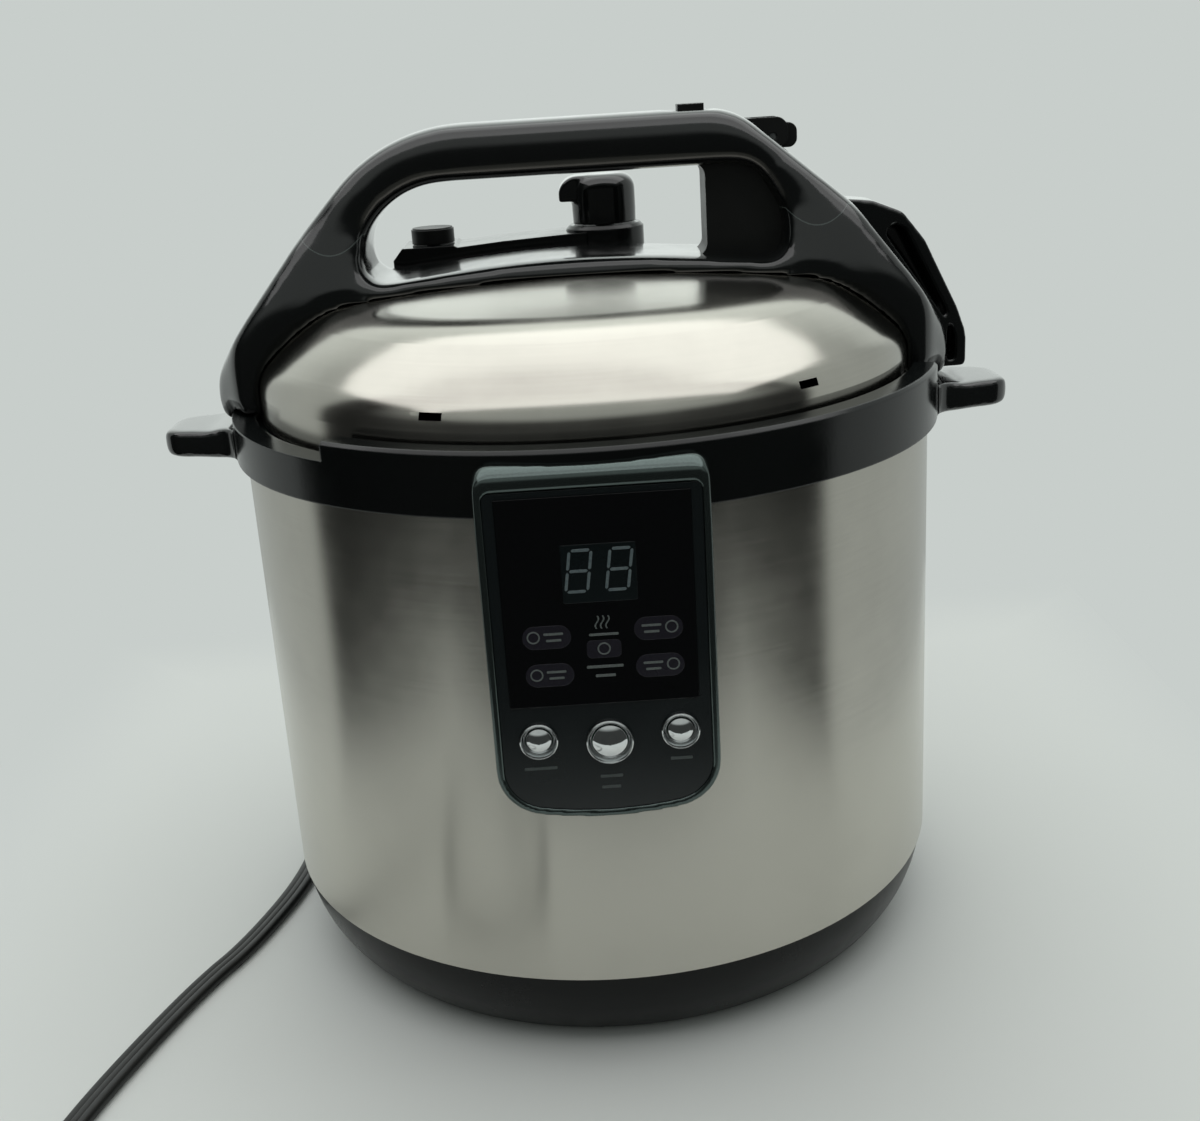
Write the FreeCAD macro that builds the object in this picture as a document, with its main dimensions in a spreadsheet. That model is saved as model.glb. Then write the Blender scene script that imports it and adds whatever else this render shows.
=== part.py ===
"""Electric pressure cooker: base with pot and controls, bayonet lid with handle and valves, cord and plug.

Millimetres. The origin is on the cooker's axis at table height, +Z is up and the panel faces -Y.
"""
import math
import os

import FreeCAD
import Part
import Sketcher

SIZES = {
    "pan_bottom": 3.0,
    "pan_wall": 3.0,
    "pan_foot_radius": 121.0,
    "pan_rim_radius": 135.0,
    "pan_bulge": 45.0,
    "foot_radius": 8.0,
    "foot_circle": 100.0,
    "screw_circle": 108.0,
    "screw_radius": 2.0,
    "screw_head": 4.0,
    "shell_radius": 136.0,
    "shell_wall": 0.8,
    "shell_bottom": 34.0,
    "shell_top": 208.7,
    "collar_radius": 139.8,
    "collar_bore": 130.9,
    "collar_top": 230.8,
    "collar_low": 224.0,
    "collar_lip": 127.6,
    "lip_bottom": 219.4,
    "lip_top": 221.4,
    "low_stretch": 67.0,
    "low_start": 163.0,
    "liner_radius": 117.2,
    "liner_wall": 0.8,
    "liner_flange": 130.4,
    "liner_top": 203.5,
    "liner_hole": 60.0,
    "pot_radius": 110.0,
    "pot_wall": 1.2,
    "pot_bottom": 46.0,
    "pot_corner": 10.0,
    "pot_rim": 116.8,
    "pot_top": 205.8,
    "plate_radius": 100.0,
    "plate_hole": 14.0,
    "plate_top": 45.6,
    "sensor_radius": 11.5,
    "sensor_stem": 4.8,
    "ring_radius": 130.6,
    "ring_bore": 127.2,
    "ring_lug": 120.0,
    "ring_lug_bottom": 214.0,
    "ring_lug_top": 218.5,
    "lug_half": 12.0,
    "skirt_radius": 119.0,
    "skirt_wall": 2.2,
    "skirt_bottom": 209.0,
    "lid_lug": 126.5,
    "lid_lug_top": 213.0,
    "lid_pan_floor": 214.4,
    "lid_pan_sheet": 1.6,
    "lid_flange": 126.6,
    "lid_flange_bottom": 222.0,
    "post_radius": 5.0,
    "dome_radius": 128.0,
    "dome_bottom": 222.5,
    "dome_wall_top": 234.0,
    "dome_top": 270.0,
    "dome_sheet": 0.8,
    "slot_depth": 14.0,
    "slot_width": 8.5,
    "slot_height": 2.6,
    "slot_level": 237.6,
    "seal_radius": 116.0,
    "seal_bore": 103.0,
    "seal_bottom": 206.3,
    "seal_top": 213.4,
    "inner_plate_radius": 108.6,
    "inner_plate_bottom": 209.4,
    "inner_plate_top": 211.0,
    "grip_top": 325.5,
    "grip_under": 307.0,
    "grip_half": 16.0,
    "grip_flare": 21.0,
    "grip_round": 5.0,
    "seam_level": 288.0,
    "leg_reach": 145.3,
    "leg_half": 30.0,
    "leg_skirt": 219.5,
    "leg_shelf": 224.6,
    "saddle_middle": 275.0,
    "saddle_edge": 270.0,
    "saddle_shoulder": 262.0,
    "leg_round": 3.0,
    "handle_tip": 169.5,
    "handle_bottom": 206.5,
    "handle_top": 216.5,
    "handle_root_top": 218.4,
    "handle_root_half": 24.0,
    "handle_tip_half": 17.0,
    "bezel_half": 37.5,
    "bezel_front": 145.0,
    "bezel_top": 222.0,
    "bezel_corner": 5.0,
    "bezel_side_end": 123.3,
    "bezel_turn": 17.0,
    "bezel_lean": 10.0,
    "bezel_rim": 2.6,
    "window_bottom": 146.0,
    "window_half": 31.0,
    "window_top": 217.4,
    "face_sheet": 2.0,
    "button_small": 4.4,
    "button_large": 5.85,
    "ring_width": 1.65,
    "button_gap": 0.3,
    "valve_across": 13.0,
    "valve_back": 48.0,
    "seat_radius": 16.4,
    "seat_top": 281.4,
    "knob_top": 301.6,
    "knob_under": 291.5,
    "knob_radius": 13.3,
    "float_across": -60.0,
    "float_back": 48.0,
    "float_radius": 9.0,
    "cup_back": 148.5,
    "cup_half": 26.0,
    "cup_bottom": 146.0,
    "cup_top": 192.0,
    "cup_wall": 1.8,
    "cord_width": 9.5,
    "cord_thickness": 4.4,
    "cord_height": 2.3,
    "cord_exit_height": 14.0,
    "coil_across": -140.0,
    "coil_back": -240.0,
    "coil_radius": 62.0,
    "coil_inner": 38.0,
    "coil_rise": 5.7,
}

document = FreeCAD.newDocument("PressureCooker")
sheet = document.addObject("Spreadsheet::Sheet", "Sizes")
for row, (alias, number) in enumerate(SIZES.items(), 1):
    sheet.set("A%d" % row, alias)
    sheet.set("B%d" % row, str(number))
    sheet.setAlias("B%d" % row, alias)
document.recompute()


class Size:
    """A length held as a number together with the sheet formula that gives it."""

    def __init__(self, value, text):
        self.value = value
        self.text = text

    def __add__(self, other):
        other = as_size(other)
        return Size(self.value + other.value, "(%s + %s)" % (self.text, other.text))

    def __sub__(self, other):
        other = as_size(other)
        return Size(self.value - other.value, "(%s - %s)" % (self.text, other.text))

    def __rsub__(self, other):
        return as_size(other) - self

    def __mul__(self, other):
        other = as_size(other)
        return Size(self.value * other.value, "(%s * %s)" % (self.text, other.text))

    def __truediv__(self, other):
        other = as_size(other)
        return Size(self.value / other.value, "(%s / %s)" % (self.text, other.text))

    def __neg__(self):
        return Size(-self.value, "(0 - %s)" % self.text)


class SheetSizes:
    """Sheet sizes by alias, as lengths that keep their formula."""

    def __getattr__(self, alias):
        return Size(float(sheet.get(alias)), "Sizes." + alias)


def as_size(value):
    if isinstance(value, Size):
        return value
    return Size(float(value), "(%.6f)" % float(value))


def polar(radius, degrees):
    """Point on a circle about the axis, its angle in degrees from +X."""
    radius = as_size(radius)
    degrees = as_size(degrees)
    angle = math.radians(degrees.value)
    across = Size(radius.value * math.cos(angle), "(%s * cos(%s))" % (radius.text, degrees.text))
    back = Size(radius.value * math.sin(angle), "(%s * sin(%s))" % (radius.text, degrees.text))
    return across, back


dim = SheetSizes()


def bind(item, name, length):
    item.setExpression(name, as_size(length).text)


def fix_point(sketch, geometry, end, across, up):
    """Ties one sketch point to the sheet, or to a sketch axis where the size is nothing."""
    for kind, axis, length in (("DistanceX", -2, across), ("DistanceY", -1, up)):
        if abs(length.value) < 1e-9:
            sketch.addConstraint(Sketcher.Constraint("PointOnObject", geometry, end, axis))
        else:
            tie = sketch.addConstraint(Sketcher.Constraint(kind, -1, 1, geometry, end, length.value))
            bind(sketch, "Constraints[%d]" % tie, length)


def arc_between(start, finish, radius):
    """Short arc between two sketch points; a positive radius turns left on the way."""
    chord = finish.sub(start)
    middle = (start + finish) * 0.5
    left = FreeCAD.Vector(-chord.y, chord.x, 0).normalize()
    offset = math.sqrt(max(radius * radius - chord.Length ** 2 / 4.0, 0.0))
    centre = middle + left * (offset if radius > 0 else -offset)
    first, last = (start, finish) if radius > 0 else (finish, start)
    angles = [math.atan2(p.y - centre.y, p.x - centre.x) for p in (first, last)]
    circle = Part.Circle(centre, FreeCAD.Vector(0, 0, 1), abs(radius))
    return Part.ArcOfCircle(circle, angles[0], angles[1])


def outline(body, plane, corners, level=None):
    """Closed sketch on an origin plane; a corner is (across, up) or (across, up, radius of next side)."""
    sketch = body.newObject("Sketcher::SketchObject", body.Name + "_outline")
    origin_plane = next(item for item in body.Origin.OriginFeatures if item.Role == plane)
    sketch.AttachmentSupport = [(origin_plane, "")]
    sketch.MapMode = "FlatFace"
    if level is not None:
        bind(sketch, "AttachmentOffset.Base.z", level)
    corners = [tuple(as_size(value) for value in corner) for corner in corners]
    points = [FreeCAD.Vector(corner[0].value, corner[1].value, 0) for corner in corners]
    ends = []
    for index, corner in enumerate(corners):
        start = points[index]
        finish = points[(index + 1) % len(points)]
        if len(corner) == 2:
            sketch.addGeometry(Part.LineSegment(start, finish))
            ends.append((1, 2))
            continue
        sketch.addGeometry(arc_between(start, finish, corner[2].value))
        ends.append((1, 2) if corner[2].value > 0 else (2, 1))
    for index, corner in enumerate(corners):
        after = (index + 1) % len(corners)
        link = Sketcher.Constraint("Coincident", index, ends[index][1], after, ends[after][0])
        sketch.addConstraint(link)
    for index, corner in enumerate(corners):
        fix_point(sketch, index, ends[index][0], corner[0], corner[1])
        if len(corner) == 3:
            radius = corner[2] if corner[2].value > 0 else -corner[2]
            tie = sketch.addConstraint(Sketcher.Constraint("Radius", index, radius.value))
            bind(sketch, "Constraints[%d]" % tie, radius)
    return sketch


def turned(label, corners):
    """Body turned about +Z from an outline of (radius, height) corners."""
    body = document.addObject("PartDesign::Body", label)
    sketch = outline(body, "XZ_Plane", corners)
    turn = body.newObject("PartDesign::Revolution", label + "_turn")
    turn.Profile = sketch
    turn.ReferenceAxis = (sketch, ["V_Axis"])
    turn.Angle = 360
    return body


def add_slab(body, plane, corners, start, finish, pocket=False):
    """Pad or pocket of an outline between two levels along the plane's own world axis."""
    start = as_size(start)
    finish = as_size(finish)
    facing_back = plane == "XZ_Plane"
    level = finish if pocket else start
    if facing_back:
        level = -(start if pocket else finish)
    sketch = outline(body, plane, corners, level)
    kind = "Pocket" if pocket else "Pad"
    slab = body.newObject("PartDesign::" + kind, "%s_%s" % (body.Name, kind.lower()))
    slab.Profile = sketch
    bind(slab, "Length", finish - start)
    return slab


def slab(label, plane, corners, start, finish):
    body = document.addObject("PartDesign::Body", label)
    add_slab(body, plane, corners, start, finish)
    return body


def repeat_around(body, feature, count):
    pattern = body.newObject("PartDesign::PolarPattern", body.Name + "_repeat")
    pattern.Originals = [feature]
    pattern.Axis = (feature.Profile[0], ["N_Axis"])
    pattern.Angle = 360
    pattern.Occurrences = count
    body.Tip = pattern
    return pattern


def rod(label, radius, bottom, top, across=0.0, back=0.0):
    """Upright cylinder."""
    item = document.addObject("Part::Cylinder", label)
    bind(item, "Radius", radius)
    bind(item, "Height", as_size(top) - bottom)
    bind(item, "Placement.Base.x", across)
    bind(item, "Placement.Base.y", back)
    bind(item, "Placement.Base.z", bottom)
    return item


def box(label, left, right, front, back, bottom, top):
    item = document.addObject("Part::Box", label)
    bind(item, "Length", as_size(right) - left)
    bind(item, "Width", as_size(back) - front)
    bind(item, "Height", as_size(top) - bottom)
    bind(item, "Placement.Base.x", left)
    bind(item, "Placement.Base.y", front)
    bind(item, "Placement.Base.z", bottom)
    return item


def group(label, items):
    item = document.addObject("Part::Compound", label)
    item.Links = items
    return item


def joined(label, items):
    item = document.addObject("Part::MultiFuse", label)
    item.Shapes = items
    return item


def cut(label, body, tools):
    item = document.addObject("Part::Cut", label)
    item.Base = body
    item.Tool = tools[0] if len(tools) == 1 else group(label + "_tools", tools)
    return item


def turn_forward(item, across, front, up):
    """Stands an item turned about +Z on its side so that its top faces the panel's front."""
    item.Placement = FreeCAD.Placement(FreeCAD.Vector(), FreeCAD.Rotation(FreeCAD.Vector(1, 0, 0), 90))
    bind(item, "Placement.Base.x", across)
    bind(item, "Placement.Base.y", front)
    bind(item, "Placement.Base.z", up)
    return item


def shaped(label, shape):
    """Free-form piece built from sheet sizes in code."""
    item = document.addObject("Part::Feature", label)
    item.Shape = shape
    return item


QUARTERS = (15, 105, 195, 285)
CORNERS = (45, 135, 225, 315)
CORD_AXIS = FreeCAD.Vector(-0.643, 0.766, 0.0).normalize()
CORD_START = FreeCAD.Vector(-36.0, 141.0, dim.cord_exit_height.value)


def sector(inner, outer, half):
    """Corners of a ring sector about +X."""
    return [polar(inner, -half), polar(outer, -half) + (as_size(outer),),
            polar(outer, half), polar(inner, half) + (-as_size(inner),)]


def along_cord(item, distance):
    """Lays an item made along +Z on the line of the cord's exit."""
    start = CORD_START - CORD_AXIS * distance
    turn = FreeCAD.Rotation(FreeCAD.Vector(0, 0, 1), CORD_AXIS)
    item.Placement = FreeCAD.Placement(start, turn)
    bind(item, "Placement.Base.z", dim.cord_exit_height)
    return item


def build_base():
    """Pan, feet, screws, shell, collar, side handles and lock ring."""
    floor = dim.pan_bottom + dim.pan_wall
    bowl = turned("pan_bowl", [
        (0, dim.pan_bottom),
        (dim.pan_foot_radius, dim.pan_bottom, dim.pan_bulge),
        (dim.pan_rim_radius, dim.shell_bottom),
        (dim.pan_rim_radius - 3.5, dim.shell_bottom, -dim.pan_bulge),
        (dim.pan_foot_radius - dim.pan_wall, floor),
        (0, floor),
    ])
    posts = []
    holes = []
    screws = []
    for degrees in QUARTERS:
        place = polar(dim.screw_circle, degrees)
        posts.append(rod("pan_post", 5.0, floor, dim.shell_bottom, *place))
        holes.append(rod("pan_bore", dim.screw_radius + 0.2, 1.0, dim.shell_bottom + 4, *place))
        holes.append(rod("pan_sink", dim.screw_head + 0.3, 1.0, dim.pan_bottom + 2.6, *place))
        head = rod("screw_head", dim.screw_head, dim.pan_bottom + 0.3, dim.pan_bottom + 2.5, *place)
        shank = rod("screw_shank", dim.screw_radius, dim.pan_bottom + 2.4, dim.shell_bottom + 2.2, *place)
        screws.append(joined("base_screw", [head, shank]))
    for across in (-38, 38):
        for back in (-90, -25):
            posts.append(rod("board_stand", 3.0, floor, floor + 4, across, back))
    for number in range(6):
        left = -39.5 + 15 * number
        holes.append(box("pan_vent", left, left + 4, 30, 70, 1.0, floor + 1))
    cord_hole = document.addObject("Part::Cylinder", "cord_hole")
    cord_hole.Radius = 6.2
    cord_hole.Height = 24
    holes.append(along_cord(cord_hole, 34))
    cut("base_pan", joined("pan_with_posts", [bowl] + posts), holes)
    group("base_screws", screws)
    group("rubber_feet", [rod("foot", dim.foot_radius, 0, dim.pan_bottom, *polar(dim.foot_circle, degrees))
                          for degrees in CORNERS])

    shell = turned("outer_shell", [
        (dim.shell_radius - dim.shell_wall, dim.shell_bottom),
        (dim.shell_radius, dim.shell_bottom),
        (dim.shell_radius, dim.shell_top),
        (dim.shell_radius - dim.shell_wall, dim.shell_top),
    ])
    add_slab(shell, "XZ_Plane", [(-20, 150), (20, 150), (20, 195), (-20, 195)], -140, -120, pocket=True)

    ring = turned("collar_ring", [
        (dim.collar_bore, dim.shell_top),
        (dim.collar_radius, dim.shell_top),
        (dim.collar_radius, dim.collar_top - 1.2),
        (dim.collar_radius - 1.2, dim.collar_top),
        (dim.collar_bore, dim.collar_top),
        (dim.collar_bore, dim.lip_top),
        (dim.collar_lip, dim.lip_top),
        (dim.collar_lip, dim.lip_bottom),
        (dim.collar_bore, dim.lip_bottom),
    ])
    stretches = []
    for start in (dim.low_start.value, dim.low_start.value + 180):
        wedge = rod("low_stretch", dim.collar_radius + 4, dim.collar_low, dim.collar_top + 4)
        bind(wedge, "Angle", dim.low_stretch)
        turn = FreeCAD.Rotation(FreeCAD.Vector(0, 0, 1), start)
        wedge.Placement = FreeCAD.Placement(FreeCAD.Vector(), turn)
        bind(wedge, "Placement.Base.z", dim.collar_low)
        stretches.append(wedge)
    cut("top_collar", ring, stretches)

    lock = turned("lock_ring", [
        (dim.ring_bore, dim.liner_top),
        (dim.ring_radius, dim.liner_top),
        (dim.ring_radius, dim.lip_bottom - 0.1),
        (dim.ring_bore, dim.lip_bottom - 0.1),
    ])
    lug = add_slab(lock, "XY_Plane", sector(dim.ring_lug, dim.ring_bore + 1, dim.lug_half),
                   dim.ring_lug_bottom, dim.ring_lug_top)
    repeat_around(lock, lug, 6)

    round_tip = dim.handle_tip - 158
    plan = slab("handle_plan", "XY_Plane", [
        (128, -dim.handle_root_half - 14),
        (136.5, -dim.handle_root_half - 8, -12),
        (147, -dim.handle_root_half + 3),
        (158, -dim.handle_tip_half, round_tip),
        (dim.handle_tip, round_tip - dim.handle_tip_half),
        (dim.handle_tip, dim.handle_tip_half - round_tip, round_tip),
        (158, dim.handle_tip_half),
        (147, dim.handle_root_half - 3, -12),
        (136.5, dim.handle_root_half + 8),
        (128, dim.handle_root_half + 14),
    ], dim.handle_bottom - 1, dim.handle_root_top + 1)
    side = slab("handle_side", "XZ_Plane", [
        (127, dim.handle_bottom),
        (dim.handle_tip - 3, dim.handle_bottom, 3.5),
        (dim.handle_tip, dim.handle_bottom + 3),
        (dim.handle_tip, dim.handle_top - 2.5, 3),
        (dim.handle_tip - 3, dim.handle_top),
        (150, dim.handle_top),
        (141, dim.handle_root_top),
        (127, dim.handle_root_top),
    ], -50, 50)
    wing = document.addObject("Part::Common", "handle_wing")
    wing.Base = plan
    wing.Tool = side
    right = cut("side_handle_right", wing, [rod("handle_seat", dim.collar_radius + 0.05, 190, 240)])
    left = document.addObject("Part::Mirroring", "side_handle_left")
    left.Source = right
    left.Normal = FreeCAD.Vector(1, 0, 0)


def build_vessel():
    """Liner, pot, heating plate and sensor."""
    bottom = dim.shell_bottom + dim.liner_wall
    liner = turned("liner_can", [
        (dim.liner_hole, dim.shell_bottom),
        (dim.liner_radius, dim.shell_bottom),
        (dim.liner_radius, dim.liner_top - 1.5),
        (dim.liner_flange, dim.liner_top - 1.5),
        (dim.liner_flange, dim.liner_top),
        (dim.liner_radius - dim.liner_wall, dim.liner_top),
        (dim.liner_radius - dim.liner_wall, bottom),
        (dim.liner_hole, bottom),
    ])
    cut("inner_liner", liner, [rod("liner_bore", dim.screw_radius + 0.2, 30, 40,
                                   *polar(dim.screw_circle, degrees)) for degrees in QUARTERS])
    bore = dim.pot_radius - dim.pot_wall
    turned("inner_pot", [
        (0, dim.pot_bottom),
        (dim.pot_radius - dim.pot_corner, dim.pot_bottom, dim.pot_corner),
        (dim.pot_radius, dim.pot_bottom + dim.pot_corner),
        (dim.pot_radius, dim.liner_top),
        (dim.pot_rim, dim.liner_top),
        (dim.pot_rim, dim.pot_top),
        (bore, dim.pot_top),
        (bore, dim.pot_bottom + dim.pot_corner, dim.pot_wall - dim.pot_corner),
        (dim.pot_radius - dim.pot_corner, dim.pot_bottom + dim.pot_wall),
        (0, dim.pot_bottom + dim.pot_wall),
    ])
    turned("heating_plate", [
        (dim.plate_hole, bottom),
        (dim.plate_radius, bottom),
        (dim.plate_radius, dim.plate_top - 2),
        (dim.plate_radius - 2, dim.plate_top),
        (dim.plate_hole, dim.plate_top),
    ])
    turned("sensor_bracket", [
        (dim.sensor_stem + 0.4, dim.shell_bottom - 1.2),
        (dim.liner_hole + 5, dim.shell_bottom - 1.2),
        (dim.liner_hole + 5, dim.shell_bottom),
        (dim.sensor_stem + 0.4, dim.shell_bottom),
    ])
    turned("temperature_sensor", [
        (0, dim.shell_bottom - 8),
        (dim.sensor_stem, dim.shell_bottom - 8),
        (dim.sensor_stem, dim.shell_bottom + 4),
        (dim.sensor_radius, dim.shell_bottom + 4),
        (dim.sensor_radius, dim.plate_top),
        (0, dim.plate_top),
    ])


def bezel_corners(inset):
    """Panel outline: square top with small corners, bowed foot with wide corners."""
    turn = dim.bezel_turn - inset
    lean = Size(math.sin(math.radians(dim.bezel_lean.value)), "sin(Sizes.bezel_lean)")
    rise = Size(math.cos(math.radians(dim.bezel_lean.value)), "cos(Sizes.bezel_lean)")
    half = dim.bezel_half - inset
    middle = dim.bezel_half - dim.bezel_turn
    foot = middle + turn * lean
    low = dim.bezel_side_end - turn * rise
    bow = foot / lean
    top = dim.bezel_top - inset
    corner = as_size(max(dim.bezel_corner.value - as_size(inset).value, 0.8))
    return [
        (-foot, low, bow), (foot, low, turn), (half, dim.bezel_side_end),
        (half, top - corner, corner), (half - corner, top),
        (corner - half, top, corner), (-half, top - corner),
        (-half, dim.bezel_side_end, turn),
    ]


BUTTONS = (("left", -22.6, 133.8, "button_small"), ("centre", 0.9, 132.1, "button_large"),
           ("right", 24.5, 134.5, "button_small"))


def build_panel():
    """Bezel, window, button plate, rings, buttons and boards."""
    front = -dim.bezel_front
    face = front + 0.6
    frame = slab("bezel_block", "XZ_Plane", bezel_corners(0), front, -129)
    hollow = slab("bezel_hollow", "XZ_Plane", bezel_corners(dim.bezel_rim), -150, -120)
    cut("control_bezel", frame, [
        hollow,
        rod("bezel_seat", dim.shell_radius + 0.05, 90, 230),
        rod("bezel_notch", dim.collar_radius + 0.05, dim.shell_top - 0.05, 230),
    ])
    window = [(-dim.window_half, dim.window_bottom), (dim.window_half, dim.window_bottom),
              (dim.window_half, dim.window_top - 0.2), (-dim.window_half, dim.window_top - 0.2)]
    slab("display_window", "XZ_Plane", window, front + 0.2, front + 0.2 + dim.face_sheet)
    grown = [(across * 1.003, up) for across, up in window]
    openings = [slab("window_hole", "XZ_Plane", grown, -150, -130)]
    plate = slab("plate_blank", "XZ_Plane", bezel_corners(dim.bezel_rim + 0.1), face, face + dim.face_sheet)
    rings = []
    for name, across, up, width in BUTTONS:
        radius = getattr(dim, width)
        inner = radius + dim.button_gap
        outer = inner + dim.ring_width
        hole = document.addObject("Part::Cylinder", name + "_hole")
        bind(hole, "Radius", outer + 0.05)
        hole.Height = 20
        openings.append(turn_forward(hole, across, -130, up))
        ring = turned(name + "_ring", [(inner, -2), (outer, -2), (outer, 1.2), (outer - 0.4, 1.5),
                                       (inner + 0.4, -0.1), (inner, -0.1)])
        rings.append(turn_forward(ring, across, face, up))
        crown = cap_radius(radius, 1.6)
        dome = turned(name + "_button", [(0, -3), (radius, -3), (radius, 0.6, crown), (0, 2.2)])
        turn_forward(dome, across, face, up)
    cut("button_plate", plate, openings)
    group("button_rings", rings)
    board_front = front + 5.4
    box("display_board", -28, 28, board_front, board_front + 1.6, 125, 204)
    box("led_display", -14, 14, front + 2.4, board_front, 181, 204)
    floor = dim.pan_bottom + dim.pan_wall + 4
    card = floor + 1.6
    parts = [box("card", -42, 42, -94, -20, floor, card),
             box("transformer", -30, -4, -80, -55, card - 0.2, card + 15),
             box("relay", 8, 24, -86, -72, card - 0.2, card + 14),
             rod("capacitor", 7, card - 0.2, card + 17, 20, -45)]
    for number in range(4):
        left = -32 + 6 * number
        parts.append(box("cooling_fin", left, left + 2, -46, -28, card - 0.2, card + 12))
    joined("power_board", parts)


def build_cup():
    """Holder on the shell's back and the condensation cup that pulls off it."""
    seat = dim.collar_radius - 0.2
    back_plate = slab("holder_plate", "XZ_Plane", [(-20, 158), (20, 158), (20, 184), (-20, 184)], 130, seat)
    tabs = [box("holder_tab", left, left + 3, seat - 0.2, seat + 1.8, 168, 175) for left in (-15.5, 12.5)]
    cut("cup_holder", joined("holder_blank", [back_plate] + tabs),
        [rod("holder_seat", dim.shell_radius + 0.05, 100, 200)])
    front = seat + 0.3
    half = dim.cup_half
    cup = slab("cup_blank", "XZ_Plane", [
        (8 - half, dim.cup_bottom), (half - 8, dim.cup_bottom, 8), (half, dim.cup_bottom + 8),
        (half, dim.cup_top), (-half, dim.cup_top), (-half, dim.cup_bottom + 8, 8),
    ], front, dim.cup_back)
    inner = half - dim.cup_wall - 2
    near = front + dim.cup_wall
    far = dim.cup_back - dim.cup_wall
    add_slab(cup, "XY_Plane", [(-inner, near), (inner, near), (inner, far), (-inner, far)],
             dim.cup_bottom + 3, dim.cup_top + 1, pocket=True)
    cut("condensation_cup", cup, [box("cup_slot", left, left + 4, 138, front + 2.2, 167.5, 175.5)
                                  for left in (-16, 12)])


def cap_radius(reach, rise):
    """Radius of a round cap centred on the axis, from its reach and its rise."""
    reach = as_size(reach)
    rise = as_size(rise)
    return (reach * reach + rise * rise) / (rise * 2)


SLOT_AZIMUTHS = (-113.7, -53.6)


def dome_corners(offset):
    """Dome outline from its bottom edge up to the axis, moved outwards by the offset."""
    radius = dim.dome_radius + offset
    wall = dim.dome_wall_top + offset
    rim = wall + 30.5
    top = dim.dome_top + offset
    return [
        (radius, dim.dome_bottom),
        (radius, dim.dome_wall_top, as_size(16) + offset),
        (radius - 5.5, wall + 11, as_size(100) + offset),
        (radius - 22, wall + 24.5, as_size(37) + offset),
        (radius - 39, rim, cap_radius(radius - 39, top - rim)),
        (0, top),
    ]


def reversed_corners(corners):
    """Same outline run the other way, each radius kept with its own side."""
    backward = []
    for index in range(len(corners) - 1, -1, -1):
        corner = corners[index][:2]
        if index > 0 and len(corners[index - 1]) == 3:
            corner = corner + (-corners[index - 1][2],)
        backward.append(corner)
    return backward


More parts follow.
